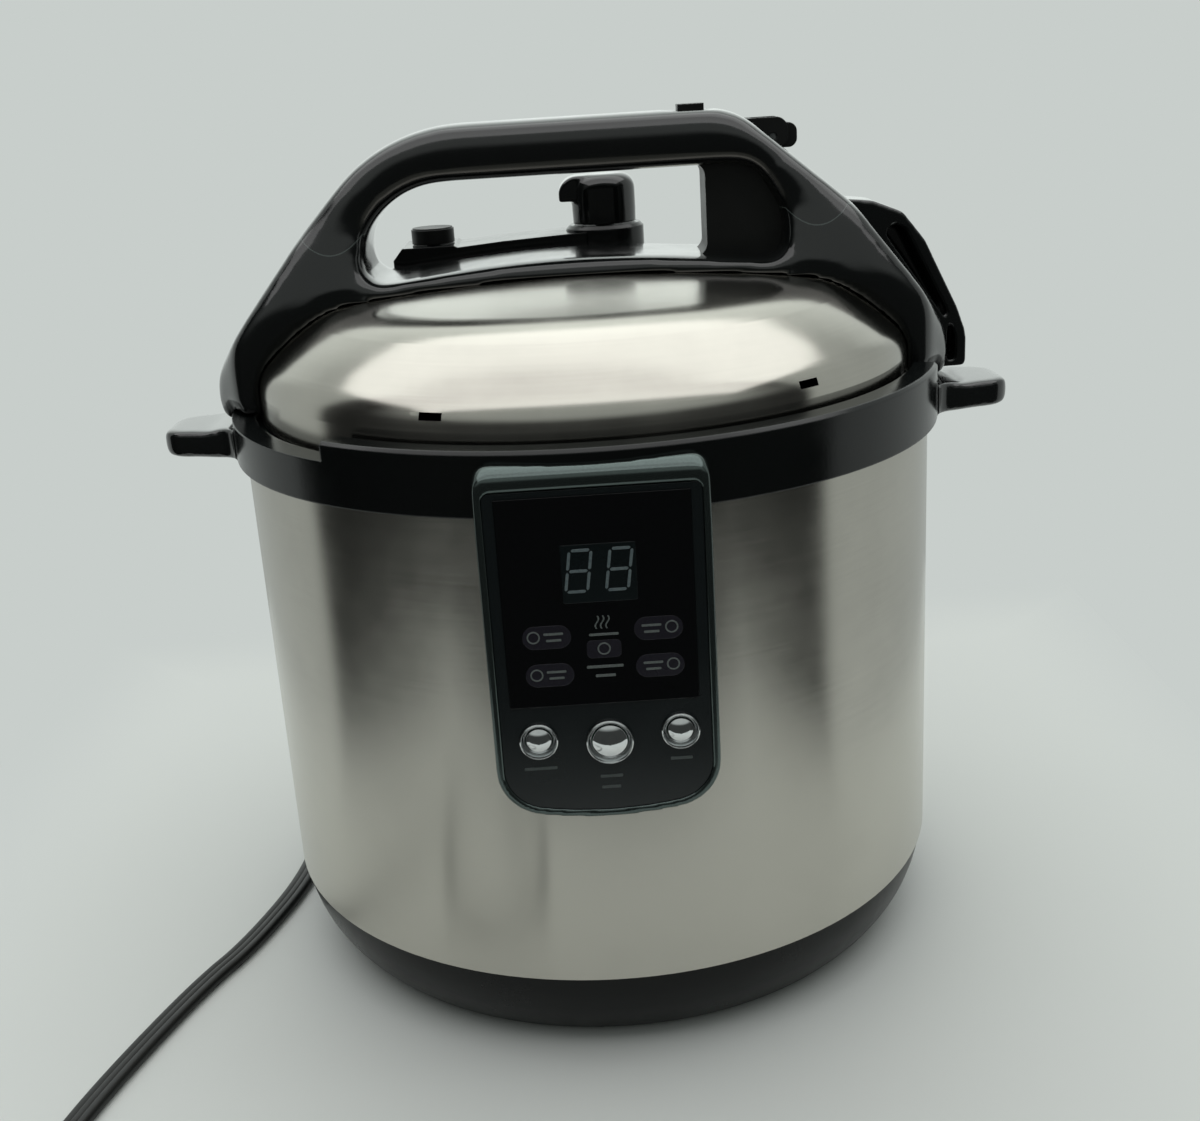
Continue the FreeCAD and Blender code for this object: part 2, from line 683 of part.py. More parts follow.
def build_lid():
    """Lid pan with lugs and post, inner lid with its seal, and the dome."""
    sheet_top = dim.lid_pan_floor + dim.lid_pan_sheet
    inside = dim.skirt_radius - dim.skirt_wall
    pan = turned("lid_pan_blank", [
        (0, dim.seal_bottom - 3.5),
        (dim.post_radius, dim.seal_bottom - 3.5),
        (dim.post_radius, dim.lid_pan_floor),
        (inside, dim.lid_pan_floor),
        (inside, dim.skirt_bottom),
        (dim.skirt_radius, dim.skirt_bottom),
        (dim.skirt_radius, dim.lid_flange_bottom),
        (dim.lid_flange, dim.lid_flange_bottom),
        (dim.lid_flange, dim.lid_flange_bottom + 1.5),
        (inside, dim.lid_flange_bottom + 1.5),
        (inside, sheet_top),
        (0, sheet_top),
    ])
    lug = add_slab(pan, "XY_Plane", sector(dim.skirt_radius - 1, dim.lid_lug, dim.lug_half),
                   dim.skirt_bottom, dim.lid_lug_top)
    repeat_around(pan, lug, 6)
    valve = (dim.valve_across, dim.valve_back)
    float_at = (dim.float_across, dim.float_back)
    cut("lid_pan", pan, [rod("pan_valve_hole", 3.9, 200, 230, *valve),
                         rod("pan_float_hole", 3.4, 200, 230, *float_at)])
    turned("post_nut", [
        (dim.post_radius, dim.seal_bottom - 2.4),
        (dim.post_radius + 3.5, dim.seal_bottom - 2.4),
        (dim.post_radius + 3.5, dim.seal_bottom + 1.2),
        (dim.post_radius, dim.seal_bottom + 1.2),
    ])
    low = dim.inner_plate_bottom
    high = dim.inner_plate_top
    rim = dim.inner_plate_radius
    turned("inner_lid_plate", [(8, low), (rim, low), (rim, high), (8, high)])
    bore = dim.post_radius + 0.3
    turned("centre_grommet", [
        (bore, low - 1.2), (10, low - 1.2), (10, low), (8, low),
        (8, high), (10, high), (10, high + 1.2), (bore, high + 1.2),
    ])
    turned("sealing_ring", [
        (dim.seal_bore, dim.seal_bottom),
        (dim.seal_radius, dim.seal_bottom),
        (dim.seal_radius, dim.seal_top),
        (dim.seal_bore, dim.seal_top),
        (dim.seal_bore, high + 0.2),
        (dim.inner_plate_radius + 0.4, high + 0.2),
        (dim.inner_plate_radius + 0.4, low - 0.2),
        (dim.seal_bore, low - 0.2),
    ])
    outer = dome_corners(0)
    shell = turned("dome_shell", outer + reversed_corners(dome_corners(-dim.dome_sheet)))
    holes = [
        rod("dome_valve_hole", 4.0, 240, 290, *valve),
        rod("dome_float_hole", 3.5, 240, 290, *float_at),
    ]
    screws = []
    for across in (-96, 96):
        for back in (-11, 11):
            holes.append(rod("dome_screw_hole", 2.0, 240, 290, across, back))
            head = rod("handle_screw_head", 4, 256.8, 259.2, across, back)
            shank = rod("handle_screw_shank", 1.8, 259.1, 274, across, back)
            screws.append(joined("handle_screw", [head, shank]))
    for degrees in SLOT_AZIMUTHS:
        slot = document.addObject("Part::Box", "dome_slot")
        bind(slot, "Length", dim.slot_depth)
        bind(slot, "Width", dim.slot_width)
        bind(slot, "Height", dim.slot_height)
        turn = FreeCAD.Rotation(FreeCAD.Vector(0, 0, 1), degrees)
        corner = FreeCAD.Vector(dim.dome_radius.value - 10, -dim.slot_width.value / 2, dim.slot_level.value)
        slot.Placement = FreeCAD.Placement(turn.multVec(corner), turn)
        holes.append(slot)
    cut("lid_dome", shell, holes)
    group("handle_screws", screws)
    turned("dome_mass", dome_corners(0.05)[1:] + [(0, 200), (dim.dome_radius + 0.05, 200)])


def rounded_edges(corners):
    """Edges of a closed outline whose corners (across, up, radius) are rounded off."""
    points = [FreeCAD.Vector(corner[0], corner[1], 0) for corner in corners]
    arcs = []
    for index, corner in enumerate(corners):
        point = points[index]
        before = (points[index - 1] - point).normalize()
        after = (points[(index + 1) % len(points)] - point).normalize()
        radius = corner[2] if len(corner) > 2 else 0.0
        if radius == 0.0:
            arcs.append((point, None, point))
            continue
        half = before.getAngle(after) / 2.0
        reach = radius / math.tan(half)
        inward = (before + after).normalize()
        middle = point + inward * (radius / math.sin(half) - radius)
        arcs.append((point + before * reach, middle, point + after * reach))
    edges = []
    for index, (start, middle, finish) in enumerate(arcs):
        if middle is not None:
            edges.append(Part.Arc(start, middle, finish).toShape())
        following = arcs[(index + 1) % len(arcs)][0]
        if finish.distanceToPoint(following) > 1e-6:
            edges.append(Part.LineSegment(finish, following).toShape())
    return edges


TURNS = {
    "XY": FreeCAD.Rotation(),
    "XZ": FreeCAD.Rotation(FreeCAD.Vector(1, 0, 0), 90),
    "YZ": FreeCAD.Rotation(FreeCAD.Vector(1, 1, 1), 120),
}
ACROSS = {
    "XY": FreeCAD.Vector(0, 0, 1),
    "XZ": FreeCAD.Vector(0, 1, 0),
    "YZ": FreeCAD.Vector(1, 0, 0),
}


def prism(plane, corners, start, finish):
    """Solid with a rounded outline in one world plane, reaching between two levels across it."""
    face = Part.Face(Part.Wire(rounded_edges(corners)))
    face.Placement = FreeCAD.Placement(FreeCAD.Vector(), TURNS[plane])
    across = ACROSS[plane]
    face.translate(across * start)
    return face.extrude(across * (finish - start))


def mirrored_widths(steps):
    """Closed outline, symmetric about the middle, from (half width, level) steps going up."""
    return [(half, level) for half, level in steps] + [(-half, level) for half, level in reversed(steps)]


def cylinder(radius, bottom, top, across=0.0, back=0.0):
    return Part.makeCylinder(radius, top - bottom, FreeCAD.Vector(across, back, bottom))


def build_handle():
    """Saddle, grip, lock housing and fin."""
    seam = dim.seam_level.value
    reach = dim.leg_reach.value
    skirt = dim.leg_skirt.value
    half = dim.leg_half.value
    flare = dim.grip_flare.value
    edge = dim.saddle_edge.value
    dome = document.getObject("dome_mass").Shape
    shelf = cylinder(dim.collar_radius.value + 0.5, 190, dim.leg_shelf.value)

    saddle = prism("XZ", [
        (-reach, skirt), (reach, skirt), (reach, 236, 14), (106.5, seam), (81, seam), (82, edge - 1.2, 8),
        (0, dim.saddle_middle.value + 2.4, 480), (-83.8, edge - 1.4, 8), (-81, seam), (-104.5, seam),
        (-reach, 236, 14),
    ], -half, half)
    widths = mirrored_widths([(half, 210), (half, dim.saddle_shoulder.value), (flare, seam + 2)])
    saddle = saddle.common(prism("YZ", widths, -200, 200))
    nose = reach - 14
    saddle = saddle.common(prism("XY", [
        (reach, -7), (nose, -half), (-nose, -half), (-reach, -7),
        (-reach, 7), (-nose, half), (nose, half), (reach, 7),
    ], 200, 300)).Solids[0]
    soft = [line for line in saddle.Edges if is_leg_edge(line, skirt, seam)]
    saddle = saddle.makeFillet(dim.leg_round.value, soft)
    holes = [cylinder(1.9, 240, 275, across, back) for across in (-96, 96) for back in (-11, 11)]
    saddle = saddle.cut(dome).cut(shelf).cut(holes)

    top = dim.grip_top.value
    under = dim.grip_under.value
    narrow = dim.grip_half.value
    grip = prism("XZ", [
        (-104.5, seam), (-70, top, 65), (62, top, 25), (106.5, seam),
        (81, seam), (70, under, 14), (-70.5, under, 36), (-81, seam),
    ], -half, half)
    grip = grip.common(prism("YZ", mirrored_widths([(flare, seam), (narrow, top + 1)]), -200, 200))
    soft = [line for line in grip.Edges if is_grip_edge(line, narrow, seam)]
    grip = grip.makeFillet(dim.grip_round.value, soft)
    grip = grip.cut(Part.makeBox(10.8, 10.8, 20, FreeCAD.Vector(41.6, -5.4, under + 7)))
    housing = prism("XZ", [(47.5, 270.5), (78, 267.5), (82, 288), (74, 309), (47.5, 309)], -11, 13)
    gap_end = prism("XZ", [(0, 274.4), (51, 271.8, 5), (51, under, 5), (0, under)], -half, half)
    fin = prism("XZ", [
        (102, 289.5), (118, 287.5, 6), (130, 282.5, 6), (139, 271, 10), (152.5, 243, 20), (156, 233, 10),
        (156, skirt, 1.5), (141, skirt), (110, 262),
    ], 3, 22)
    hollow = prism("XZ", [
        (118, 282, 3), (131, 276, 4), (147.5, 243.5, 12), (151.5, 232, 8), (151.5, skirt + 2.5, 1),
        (148.5, skirt + 2.5), (148.5, 238),
    ], -5, 17)
    fin = fin.cut(hollow)
    shaped("handle_saddle", saddle)
    shaped("handle_grip", grip)
    shaped("lock_housing", housing.cut(saddle).cut(grip).cut(gap_end))
    shaped("leg_fin", fin.cut(saddle).cut(grip).cut(dome).cut(shelf))


def is_leg_edge(line, skirt, seam):
    """True for an edge down a leg's outer corner, away from the seam."""
    middle = line.CenterOfMass
    if abs(middle.x) < 100 or abs(middle.y) < 4:
        return False
    spread = line.BoundBox
    return skirt - 0.1 < spread.ZMin < seam - 1 and spread.ZMax > skirt + 1


def is_grip_edge(line, narrow, seam):
    """True for an edge along the grip's front or back, away from the seam."""
    spread = line.BoundBox
    if abs(line.CenterOfMass.y) < narrow - 1 or spread.YLength > 8:
        return False
    return spread.ZMin > seam - 0.01 and spread.ZMax > seam + 1


def build_valves():
    """Valve plate, seat, pipe, knob and float, with the release tab, bracket, lever and pin."""
    valve = (dim.valve_across, dim.valve_back)
    float_at = (dim.float_across, dim.float_back)
    mass = document.getObject("dome_mass")
    deck = slab("valve_deck", "XZ_Plane", [
        (-76, 255), (13, 255), (13, 279.4), (-3, 279), (-30, 277.8), (-49, 276.4), (-50.5, 277.2), (-72, 277.2),
        (-76, 272.5),
    ], dim.leg_half + 3.5, dim.valve_back + 16)
    seat = turned("seat_blank", [(4.2, 250), (dim.seat_radius, 250), (dim.seat_radius, dim.seat_top - 1.5),
                                 (dim.seat_radius - 1.5, dim.seat_top), (4.2, dim.seat_top)])
    knob = turned("knob_cap", [
        (4.4, dim.seat_top + 0.4),
        (dim.knob_radius, dim.seat_top + 0.4),
        (dim.knob_radius, dim.knob_top - 6, 6),
        (dim.knob_radius - 6, dim.knob_top),
        (0, dim.knob_top),
        (0, dim.knob_under - 3),
        (4.4, dim.knob_under - 3),
    ])
    for item in (seat, knob):
        bind(item, "Placement.Base.x", valve[0])
        bind(item, "Placement.Base.y", valve[1])
    cut("valve_seat", seat, [mass])
    cut("valve_plate", deck, [mass, rod("deck_bore", dim.seat_radius + 0.1, 240, 300, *valve),
                              rod("deck_float_bore", 3.5, 240, 300, *float_at)])
    beak = slab("knob_beak", "XZ_Plane", [
        (-5.5, dim.knob_under), (12, dim.knob_under), (12, dim.knob_top - 0.2), (2, dim.knob_top - 0.2, 8),
        (-5.5, dim.knob_top - 6),
    ], dim.valve_back - 7.5, dim.valve_back + 7.5)
    joined("valve_knob", [knob, beak])
    pipe = rod("pipe_blank", 3.8, dim.inner_plate_top + 2, dim.seat_top + 4, *valve)
    cut("valve_pipe", pipe, [rod("pipe_bore", 2.0, 200, 300, *valve)])
    joined("float_valve", [rod("float_stem", 3.0, dim.inner_plate_top + 2, 279, *float_at),
                           rod("float_cap", dim.float_radius, 277.6, 283.4, *float_at),
                           rod("float_crown", dim.float_radius - 0.6, 283.2, 284, *float_at)])

    back = dim.grip_half
    box("release_tab", 42, 52, -5, 5, dim.grip_under + 10.5, dim.grip_top + 3)
    frame = slab("bracket_blank", "XZ_Plane", [
        (62, 309.5), (84, 309.5, 4), (87, 313), (87, 316, 5), (83, 321), (63, 321),
    ], back, back + 14)
    slot = box("bracket_slot", 73, 93, back + 3.2, back + 10.8, 300, 330)
    pin_hole = document.addObject("Part::Cylinder", "bracket_bore")
    pin = document.addObject("Part::Cylinder", "lever_pin")
    lever_hole = document.addObject("Part::Cylinder", "lever_bore")
    bores = ((pin_hole, 1.5, 30, 40), (pin, 1.5, 14, 31), (lever_hole, 1.7, 30, 40))
    for item, radius, length, start in bores:
        item.Radius = radius
        item.Height = length
        turn_forward(item, 81, start, 313.5)
    cut("release_bracket", frame, [slot, pin_hole, document.getObject("handle_grip")])
    lever = slab("lever_blank", "XZ_Plane", [
        (77, 309), (88, 309, 3.5), (91, 312.5), (91, 315, 3.5), (88, 318.5), (77, 318.5),
    ], back + 3.5, back + 10.5)
    cut("release_lever", lever, [lever_hole])


def flat_section(start, direction):
    """Flat cord's section, two round edges and two flats, lying level across its line."""
    round_edge = dim.cord_thickness.value / 2.0
    reach = dim.cord_width.value / 2.0 - round_edge
    up = FreeCAD.Vector(0, 0, 1)
    side = direction.cross(up).normalize()

    def at(across, lift):
        return start + side * across + up * lift

    edges = [
        Part.LineSegment(at(-reach, -round_edge), at(reach, -round_edge)),
        Part.Arc(at(reach, -round_edge), at(reach + round_edge, 0), at(reach, round_edge)),
        Part.LineSegment(at(reach, round_edge), at(-reach, round_edge)),
        Part.Arc(at(-reach, round_edge), at(-reach - round_edge, 0), at(-reach, -round_edge)),
    ]
    return Part.Wire([edge.toShape() for edge in edges])


def swept_cord(edges, start, direction):
    """Flat tube along an unbroken line of edges, its volume checked against section and length."""
    path = Part.Wire(edges)
    section = flat_section(start, direction)
    sweep = Part.BRepOffsetAPI.MakePipeShell(path)
    sweep.setBiNormalMode(FreeCAD.Vector(0, 0, 1))
    sweep.add(section)
    sweep.build()
    sweep.makeSolid()
    tube = sweep.shape()
    expected = Part.Face(section).Area * path.Length
    print("cord run %.1f mm, volume %.4f of section times length" % (path.Length, tube.Volume / expected))
    return tube


def softened_route(points):
    """Straight runs joined by tangent arcs, each as wide as its shorter neighbour allows."""
    edges = []
    here = points[0]
    for index in range(1, len(points) - 1):
        before = points[index - 1] - points[index]
        after = points[index + 1] - points[index]
        half_turn = (math.pi - before.getAngle(after)) / 2.0
        reach = 0.45 * min(before.Length, after.Length)
        radius = reach / math.tan(half_turn)
        before.normalize()
        after.normalize()
        inward = (before + after).normalize()
        start = points[index] + before * reach
        finish = points[index] + after * reach
        middle = points[index] + inward * (radius / math.cos(half_turn) - radius)
        print("cord bend %d: radius %.1f mm" % (index, radius))
        edges.append(Part.LineSegment(here, start).toShape())
        edges.append(Part.Arc(start, middle, finish).toShape())
        here = finish
    edges.append(Part.LineSegment(here, points[-1]).toShape())
    return edges


def build_cord():
    """Strain relief, cord from the pan round to the front, loose coil and plug."""
    relief = turned("strain_relief", [
        (0, 0), (6, 0), (6, 22), (8, 22), (8, 24), (7, 24), (5.6, 32), (0, 32),
    ])
    along_cord(relief, 32)
    level = dim.cord_height.value
    centre = FreeCAD.Vector(dim.coil_across.value, dim.coil_back.value, 0)
    radius = dim.coil_radius.value
    lead = 10.0
    coil_start = centre + FreeCAD.Vector(-radius, lead, level)
    high = level + dim.coil_rise.value
    floor_points = [(-100, 172, 6.0), (-133, 138, level + 0.2), (-139, 90, level), (-138.5, 45, level),
                    (-140.5, 1, level), (-156, -50, level), (-169, -74.5, level), (-185, -118, level),
                    (-196.5, -156, level), (-202, -187, level)]
    route = [CORD_START, CORD_START + CORD_AXIS * 36]
    route += [FreeCAD.Vector(*point) for point in floor_points] + [coil_start]
    shaped("power_cord", swept_cord(softened_route(route), CORD_START, CORD_AXIS))

    def at(degrees, height):
        angle = math.radians(degrees)
        return centre + FreeCAD.Vector(radius * math.cos(angle), radius * math.sin(angle), height)

    middle = (level + high) / 2.0
    tilt_reach = math.hypot(radius, (high - level) / 2.0)
    crest = centre + FreeCAD.Vector(0, tilt_reach, middle)
    inner = dim.coil_inner.value
    over = at(180, high)
    bend = inner * (1.0 - math.sqrt(0.5))
    swing = over + FreeCAD.Vector(inner, -inner, 0)
    coil_end = swing + FreeCAD.Vector(lead, 0, 0)
    coil = [
        Part.LineSegment(coil_start, at(180, level)).toShape(),
        Part.Arc(at(180, level), at(270, level), at(360, level)).toShape(),
        Part.Arc(at(360, level), crest, over).toShape(),
        Part.Arc(over, over + FreeCAD.Vector(bend, bend - inner, 0), swing).toShape(),
        Part.LineSegment(swing, coil_end).toShape(),
    ]
    shaped("cord_coil", swept_cord(coil, coil_start, FreeCAD.Vector(0, -1, 0)))
    print_coil_gap(coil)

    tip = coil_end.x
    back = coil_end.y
    neck = Part.makeCone(4.6, 7.0, 12, FreeCAD.Vector(tip, back, high), FreeCAD.Vector(1, 0, 0))
    block = prism("XY", [(tip + 10, back - 9, 3), (tip + 38, back - 11.5, 3), (tip + 38, back + 11.5, 3),
                         (tip + 10, back + 9, 3)], 0.0, 2 * high)
    shaped("plug_body", neck.fuse(block).removeSplitter())
    blades = [Part.makeBox(17, 1.5, 6.4, FreeCAD.Vector(tip + 38, back + side - 0.75, high - 3.2))
              for side in (-6.35, 6.35)]
    shaped("plug_pins", Part.makeCompound(blades))


def print_coil_gap(edges):
    """Least clear height between the coil's two layers where one passes over the other."""
    points = [point for edge in edges for point in edge.discretize(60)]
    width = dim.cord_width.value
    gaps = [abs(one.z - other.z) - dim.cord_thickness.value
            for number, one in enumerate(points) for other in points[number + 60:]
            if math.hypot(one.x - other.x, one.y - other.y) < width]
    print("least gap between the coil's layers %.2f mm" % min(gaps))


NODES = [
    "base_pan", "rubber_feet", "base_screws", "outer_shell", "top_collar", "side_handle_left", "side_handle_right",
    "lock_ring", "inner_liner", "inner_pot", "heating_plate", "sensor_bracket", "temperature_sensor",
    "control_bezel", "display_window", "button_plate", "button_rings", "left_button", "centre_button",
    "right_button", "display_board", "led_display", "power_board", "cup_holder", "condensation_cup",
    "inner_lid_plate", "sealing_ring", "centre_grommet", "lid_pan", "post_nut", "lid_dome", "handle_screws",
    "handle_saddle", "handle_grip", "lock_housing", "leg_fin", "valve_plate", "valve_seat", "valve_pipe",
    "valve_knob", "float_valve", "release_tab", "release_bracket", "release_lever", "lever_pin",
    "strain_relief", "power_cord", "cord_coil", "plug_body", "plug_pins",
]


def export_nodes():
    """Writes each named piece to its own file once its shape is sound."""
    os.makedirs("parts", exist_ok=True)
    for label in NODES:
        item = document.getObject(label)
        faults = [state for state in item.State if state in ("Invalid", "Error")]
        if faults or item.Shape.isNull() or not item.Shape.isValid():
            raise RuntimeError("%s is not sound: %s" % (label, faults))
        item.Shape.exportStep("parts/%s.step" % label)
        print("%s: %d solid(s), %.1f cm3" % (label, len(item.Shape.Solids), item.Shape.Volume / 1000.0))


build_base()
build_vessel()
build_panel()
build_cup()
build_lid()
document.recompute()
build_handle()
build_valves()
build_cord()
document.recompute()
export_nodes()
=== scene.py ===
"""Looks of a counter-top pressure cooker: soft mouldings, flat cord, panel marks, finishes and stage."""

import math

import bpy
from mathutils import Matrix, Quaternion, Vector
from mathutils.bvhtree import BVHTree


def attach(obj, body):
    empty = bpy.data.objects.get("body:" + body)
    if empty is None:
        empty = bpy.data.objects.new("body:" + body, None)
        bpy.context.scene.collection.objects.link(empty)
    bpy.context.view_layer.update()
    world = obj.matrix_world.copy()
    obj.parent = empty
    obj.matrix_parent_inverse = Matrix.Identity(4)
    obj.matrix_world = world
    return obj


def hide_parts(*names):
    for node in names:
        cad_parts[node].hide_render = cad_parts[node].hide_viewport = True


bl_info = {
    "name": "Pressure Cooker Looks",
    "version": (1, 0, 0),
    "blender": (4, 5, 0),
    "location": "View3D > Sidebar > Cooker",
    "description": "Soft mouldings, cord, panel marks, finishes and stage for a pressure cooker",
    "category": "Object",
}

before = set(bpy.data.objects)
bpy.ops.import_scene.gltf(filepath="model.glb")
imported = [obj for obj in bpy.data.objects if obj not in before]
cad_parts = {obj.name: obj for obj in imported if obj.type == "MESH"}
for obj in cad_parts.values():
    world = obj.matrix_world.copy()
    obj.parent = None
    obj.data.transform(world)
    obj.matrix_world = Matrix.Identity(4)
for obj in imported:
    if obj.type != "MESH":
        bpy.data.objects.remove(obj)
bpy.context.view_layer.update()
MM = 0.001


def linear(colour):
    """Linear RGBA of an sRGB hex colour."""
    channels = [int(colour[start:start + 2], 16) / 255.0 for start in (1, 3, 5)]
    return tuple(c / 12.92 if c <= 0.04045 else ((c + 0.055) / 1.055) ** 2.4 for c in channels) + (1.0,)


def unit(value):
    """The value, held between nought and one."""
    return min(max(value, 0.0), 1.0)


def add_node(tree, kind, settings=None, sockets=None):
    """Adds one node; a socket takes a constant or the output that feeds it."""
    node = tree.nodes.new("ShaderNode" + kind)
    for name, value in (settings or {}).items():
        setattr(node, name, value)
    for name, value in (sockets or {}).items():
        if isinstance(value, bpy.types.NodeSocket):
            tree.links.new(value, node.inputs[name])
        else:
            node.inputs[name].default_value = value
    return node


def new_finish(name):
    """Empty material and its tree."""
    material = bpy.data.materials.new(name)
    material.use_nodes = True
    material.node_tree.nodes.clear()
    return material, material.node_tree


def close_finish(tree, shader):
    """Leads the shader to the material's output."""
    add_node(tree, "OutputMaterial", None, {"Surface": shader.outputs["BSDF"]})


class CookerColours(bpy.types.PropertyGroup):
    """Colours of the finishes."""

    black: bpy.props.FloatVectorProperty(
        name="Moulded black", description="Collar, handles and knob", subtype="COLOR", size=4,
        min=0.0, max=1.0, default=linear("#0d1010"))
    steel: bpy.props.FloatVectorProperty(
        name="Steel", description="Shell and lid dome", subtype="COLOR", size=4,
        min=0.0, max=1.0, default=linear("#c9c6bd"))
    bezel: bpy.props.FloatVectorProperty(
        name="Panel surround", description="Painted moulding round the panel", subtype="COLOR", size=4,
        min=0.0, max=1.0, default=linear("#525c5a"))
    slate: bpy.props.FloatVectorProperty(
        name="Button plate", description="Lower part of the panel", subtype="COLOR", size=4,
        min=0.0, max=1.0, default=linear("#151b1d"))
    mark: bpy.props.FloatVectorProperty(
        name="Printed marks", description="Outlines and bars printed on the panel", subtype="COLOR", size=4,
        min=0.0, max=1.0, default=linear("#646b69"))
    pill: bpy.props.FloatVectorProperty(
        name="Lamp fields", description="Tinted fields round the lamps", subtype="COLOR", size=4,
        min=0.0, max=1.0, default=linear("#25232b"))
    floor: bpy.props.FloatVectorProperty(
        name="Floor", description="Plain floor under the cooker", subtype="COLOR", size=4,
        min=0.0, max=1.0, default=linear("#dfe2df"))
    backdrop: bpy.props.FloatVectorProperty(
        name="Backdrop", description="Plain tone behind the cooker", subtype="COLOR", size=4,
        min=0.0, max=1.0, default=linear("#c8cecb"))


class CookerSizes(bpy.types.PropertyGroup):
    """Sizes of the pieces made here, and the camera."""

    cord_length: bpy.props.FloatProperty(
        name="Cord length", description="From the strain relief to the plug", default=0.967, unit="LENGTH")
    cord_width: bpy.props.FloatProperty(
        name="Cord width", description="Across its three cores", default=0.0095, unit="LENGTH")
    cord_thickness: bpy.props.FloatProperty(
        name="Cord thickness", description="Across one core", default=0.0044, unit="LENGTH")
    panel_face: bpy.props.FloatProperty(
        name="Panel face", description="Depth of the window's front face", default=-0.1448, unit="LENGTH")
    mark_height: bpy.props.FloatProperty(
        name="Mark height", description="How far a mark stands proud", default=0.00012, unit="LENGTH")
    floor_half: bpy.props.FloatProperty(
        name="Floor half", description="Half the side of the square floor", default=0.37, unit="LENGTH")
    camera_place: bpy.props.FloatVectorProperty(
        name="Camera place", description="Where the camera stands", subtype="TRANSLATION",
        default=(0.0, -0.5802, 0.3422))
    camera_aim: bpy.props.FloatVectorProperty(
        name="Camera aim", description="Direction that the camera looks in", subtype="DIRECTION",
        default=(0.00296, 0.94762, -0.31938))
    camera_roll: bpy.props.FloatProperty(
        name="Camera roll", description="Turn about the line of sight", default=-0.0634, unit="ROTATION")
    lens: bpy.props.FloatProperty(
        name="Lens", description="Focal length in millimetres on a 36 mm wide sensor", default=43.47)


def colours():
    """The scene's colours."""
    return bpy.context.scene.cooker_colours


def sizes():
    """The scene's sizes."""
    return bpy.context.scene.cooker_sizes


def focus(piece):
    """Selects one object alone and makes it the active one."""
    bpy.ops.object.select_all(action="DESELECT")
    piece.select_set(True)
    bpy.context.view_layer.objects.active = piece


def settle(piece, name, material, body):
    """Names a finished piece, puts its place in its mesh and hands it to a body."""
    focus(piece)
    bpy.ops.object.transform_apply(location=True, rotation=True, scale=True)
    piece.name = name
    piece.data.name = name
    piece.data.materials.clear()
    piece.data.materials.append(material)
    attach(piece, body)


def dress(node, material):
    """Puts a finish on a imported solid."""
    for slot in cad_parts[node].material_slots:
        slot.material = material


def joined(parts):
    """One object from several new ones."""
    bpy.ops.object.select_all(action="DESELECT")
    for part in parts:
        part.select_set(True)
    bpy.context.view_layer.objects.active = parts[0]
    bpy.ops.object.join()
    return bpy.context.view_layer.objects.active


def select_edges_along_depth(piece):
    """In edit mode, selects a bar's edges that run from front to back."""
    bpy.ops.mesh.select_all(action="DESELECT")
    bpy.ops.object.mode_set(mode="OBJECT")
    for edge in piece.data.edges:
        first, second = (piece.data.vertices[index].co for index in edge.vertices)
        edge.select = abs(first.x - second.x) < 1e-7 and abs(first.z - second.z) < 1e-7
    bpy.ops.object.mode_set(mode="EDIT")


def flat_mark(across, up, width, height, corner, segments):
    """Bar on the panel's face, millimetres, with rounded or cut corners."""
    bpy.ops.object.select_all(action="DESELECT")
    bpy.ops.mesh.primitive_cube_add(size=1.0, location=(across * MM, sizes().panel_face, up * MM))
    piece = bpy.context.object
    piece.scale = (width * MM, 2 * sizes().mark_height, height * MM)
    bpy.ops.object.transform_apply(location=True, rotation=True, scale=True)
    bpy.ops.object.mode_set(mode="EDIT")
    bpy.ops.mesh.select_mode(type="EDGE")
    select_edges_along_depth(piece)
    bpy.ops.mesh.bevel(offset=corner * MM, segments=segments, affect="EDGES")
    bpy.ops.object.mode_set(mode="OBJECT")
    return piece


# A printed ring is flattened to this share of its line.
RING_FLATNESS = 0.35


def ring_mark(across, up, radius, line):
    """Thin printed ring on the panel's face, millimetres."""
    bpy.ops.object.select_all(action="DESELECT")
    bpy.ops.mesh.primitive_torus_add(
        major_radius=radius * MM, minor_radius=line * MM, major_segments=40, minor_segments=8,
        location=(across * MM, sizes().panel_face, up * MM), rotation=(math.pi / 2, 0, 0))
    piece = bpy.context.object
    piece.scale = (1.0, 1.0, RING_FLATNESS)
    bpy.ops.object.transform_apply(location=True, rotation=True, scale=True)
    return piece


CORD_ROUTE = (
    (-0.036, 0.141, 0.014),
    (-0.05915, 0.16857, 0.014),
    (-0.1, 0.172, 0.006),
    (-0.133, 0.138, 0.0025),
    (-0.139, 0.09, 0.0023),
    (-0.1385, 0.045, 0.0023),
    (-0.1405, 0.001, 0.0023),
    (-0.156, -0.05, 0.0023),
    (-0.169, -0.0745, 0.0023),
    (-0.185, -0.118, 0.0023),
    (-0.1965, -0.156, 0.0023),
    (-0.202, -0.187, 0.0023),
    (-0.202, -0.23, 0.0023),
)
CORD_END = ((-0.166, -0.278, 0.008), (-0.154, -0.278, 0.008))
# The coil's turn and the smaller turn that leads to the plug: middle and radius.
COIL_TURN = (-0.140, -0.240, 0.062)
PLUG_TURN = (-0.164, -0.240, 0.038)
# Control points on each turn, and the degrees between them.
COIL_POINTS = 11
PLUG_POINTS = 3
TURN_STEP = 30
# Height of the cord's middle where it lies on the floor and where it lies across itself.
FLOOR_LEVEL = 0.0023
CROSSING_LEVEL = 0.008
# Degrees of the coil's turn after which the cord climbs, and the degrees over which it climbs.
CLIMB_START = 180
CLIMB_SPAN = 150.0
# A spline's turn has this share of the radius that its control points stand on.
SPLINE_SHARE = 0.9665
# Points round an outer core's outline and along one side of the middle core.
OUTER_POINTS = 15
MIDDLE_POINTS = 7


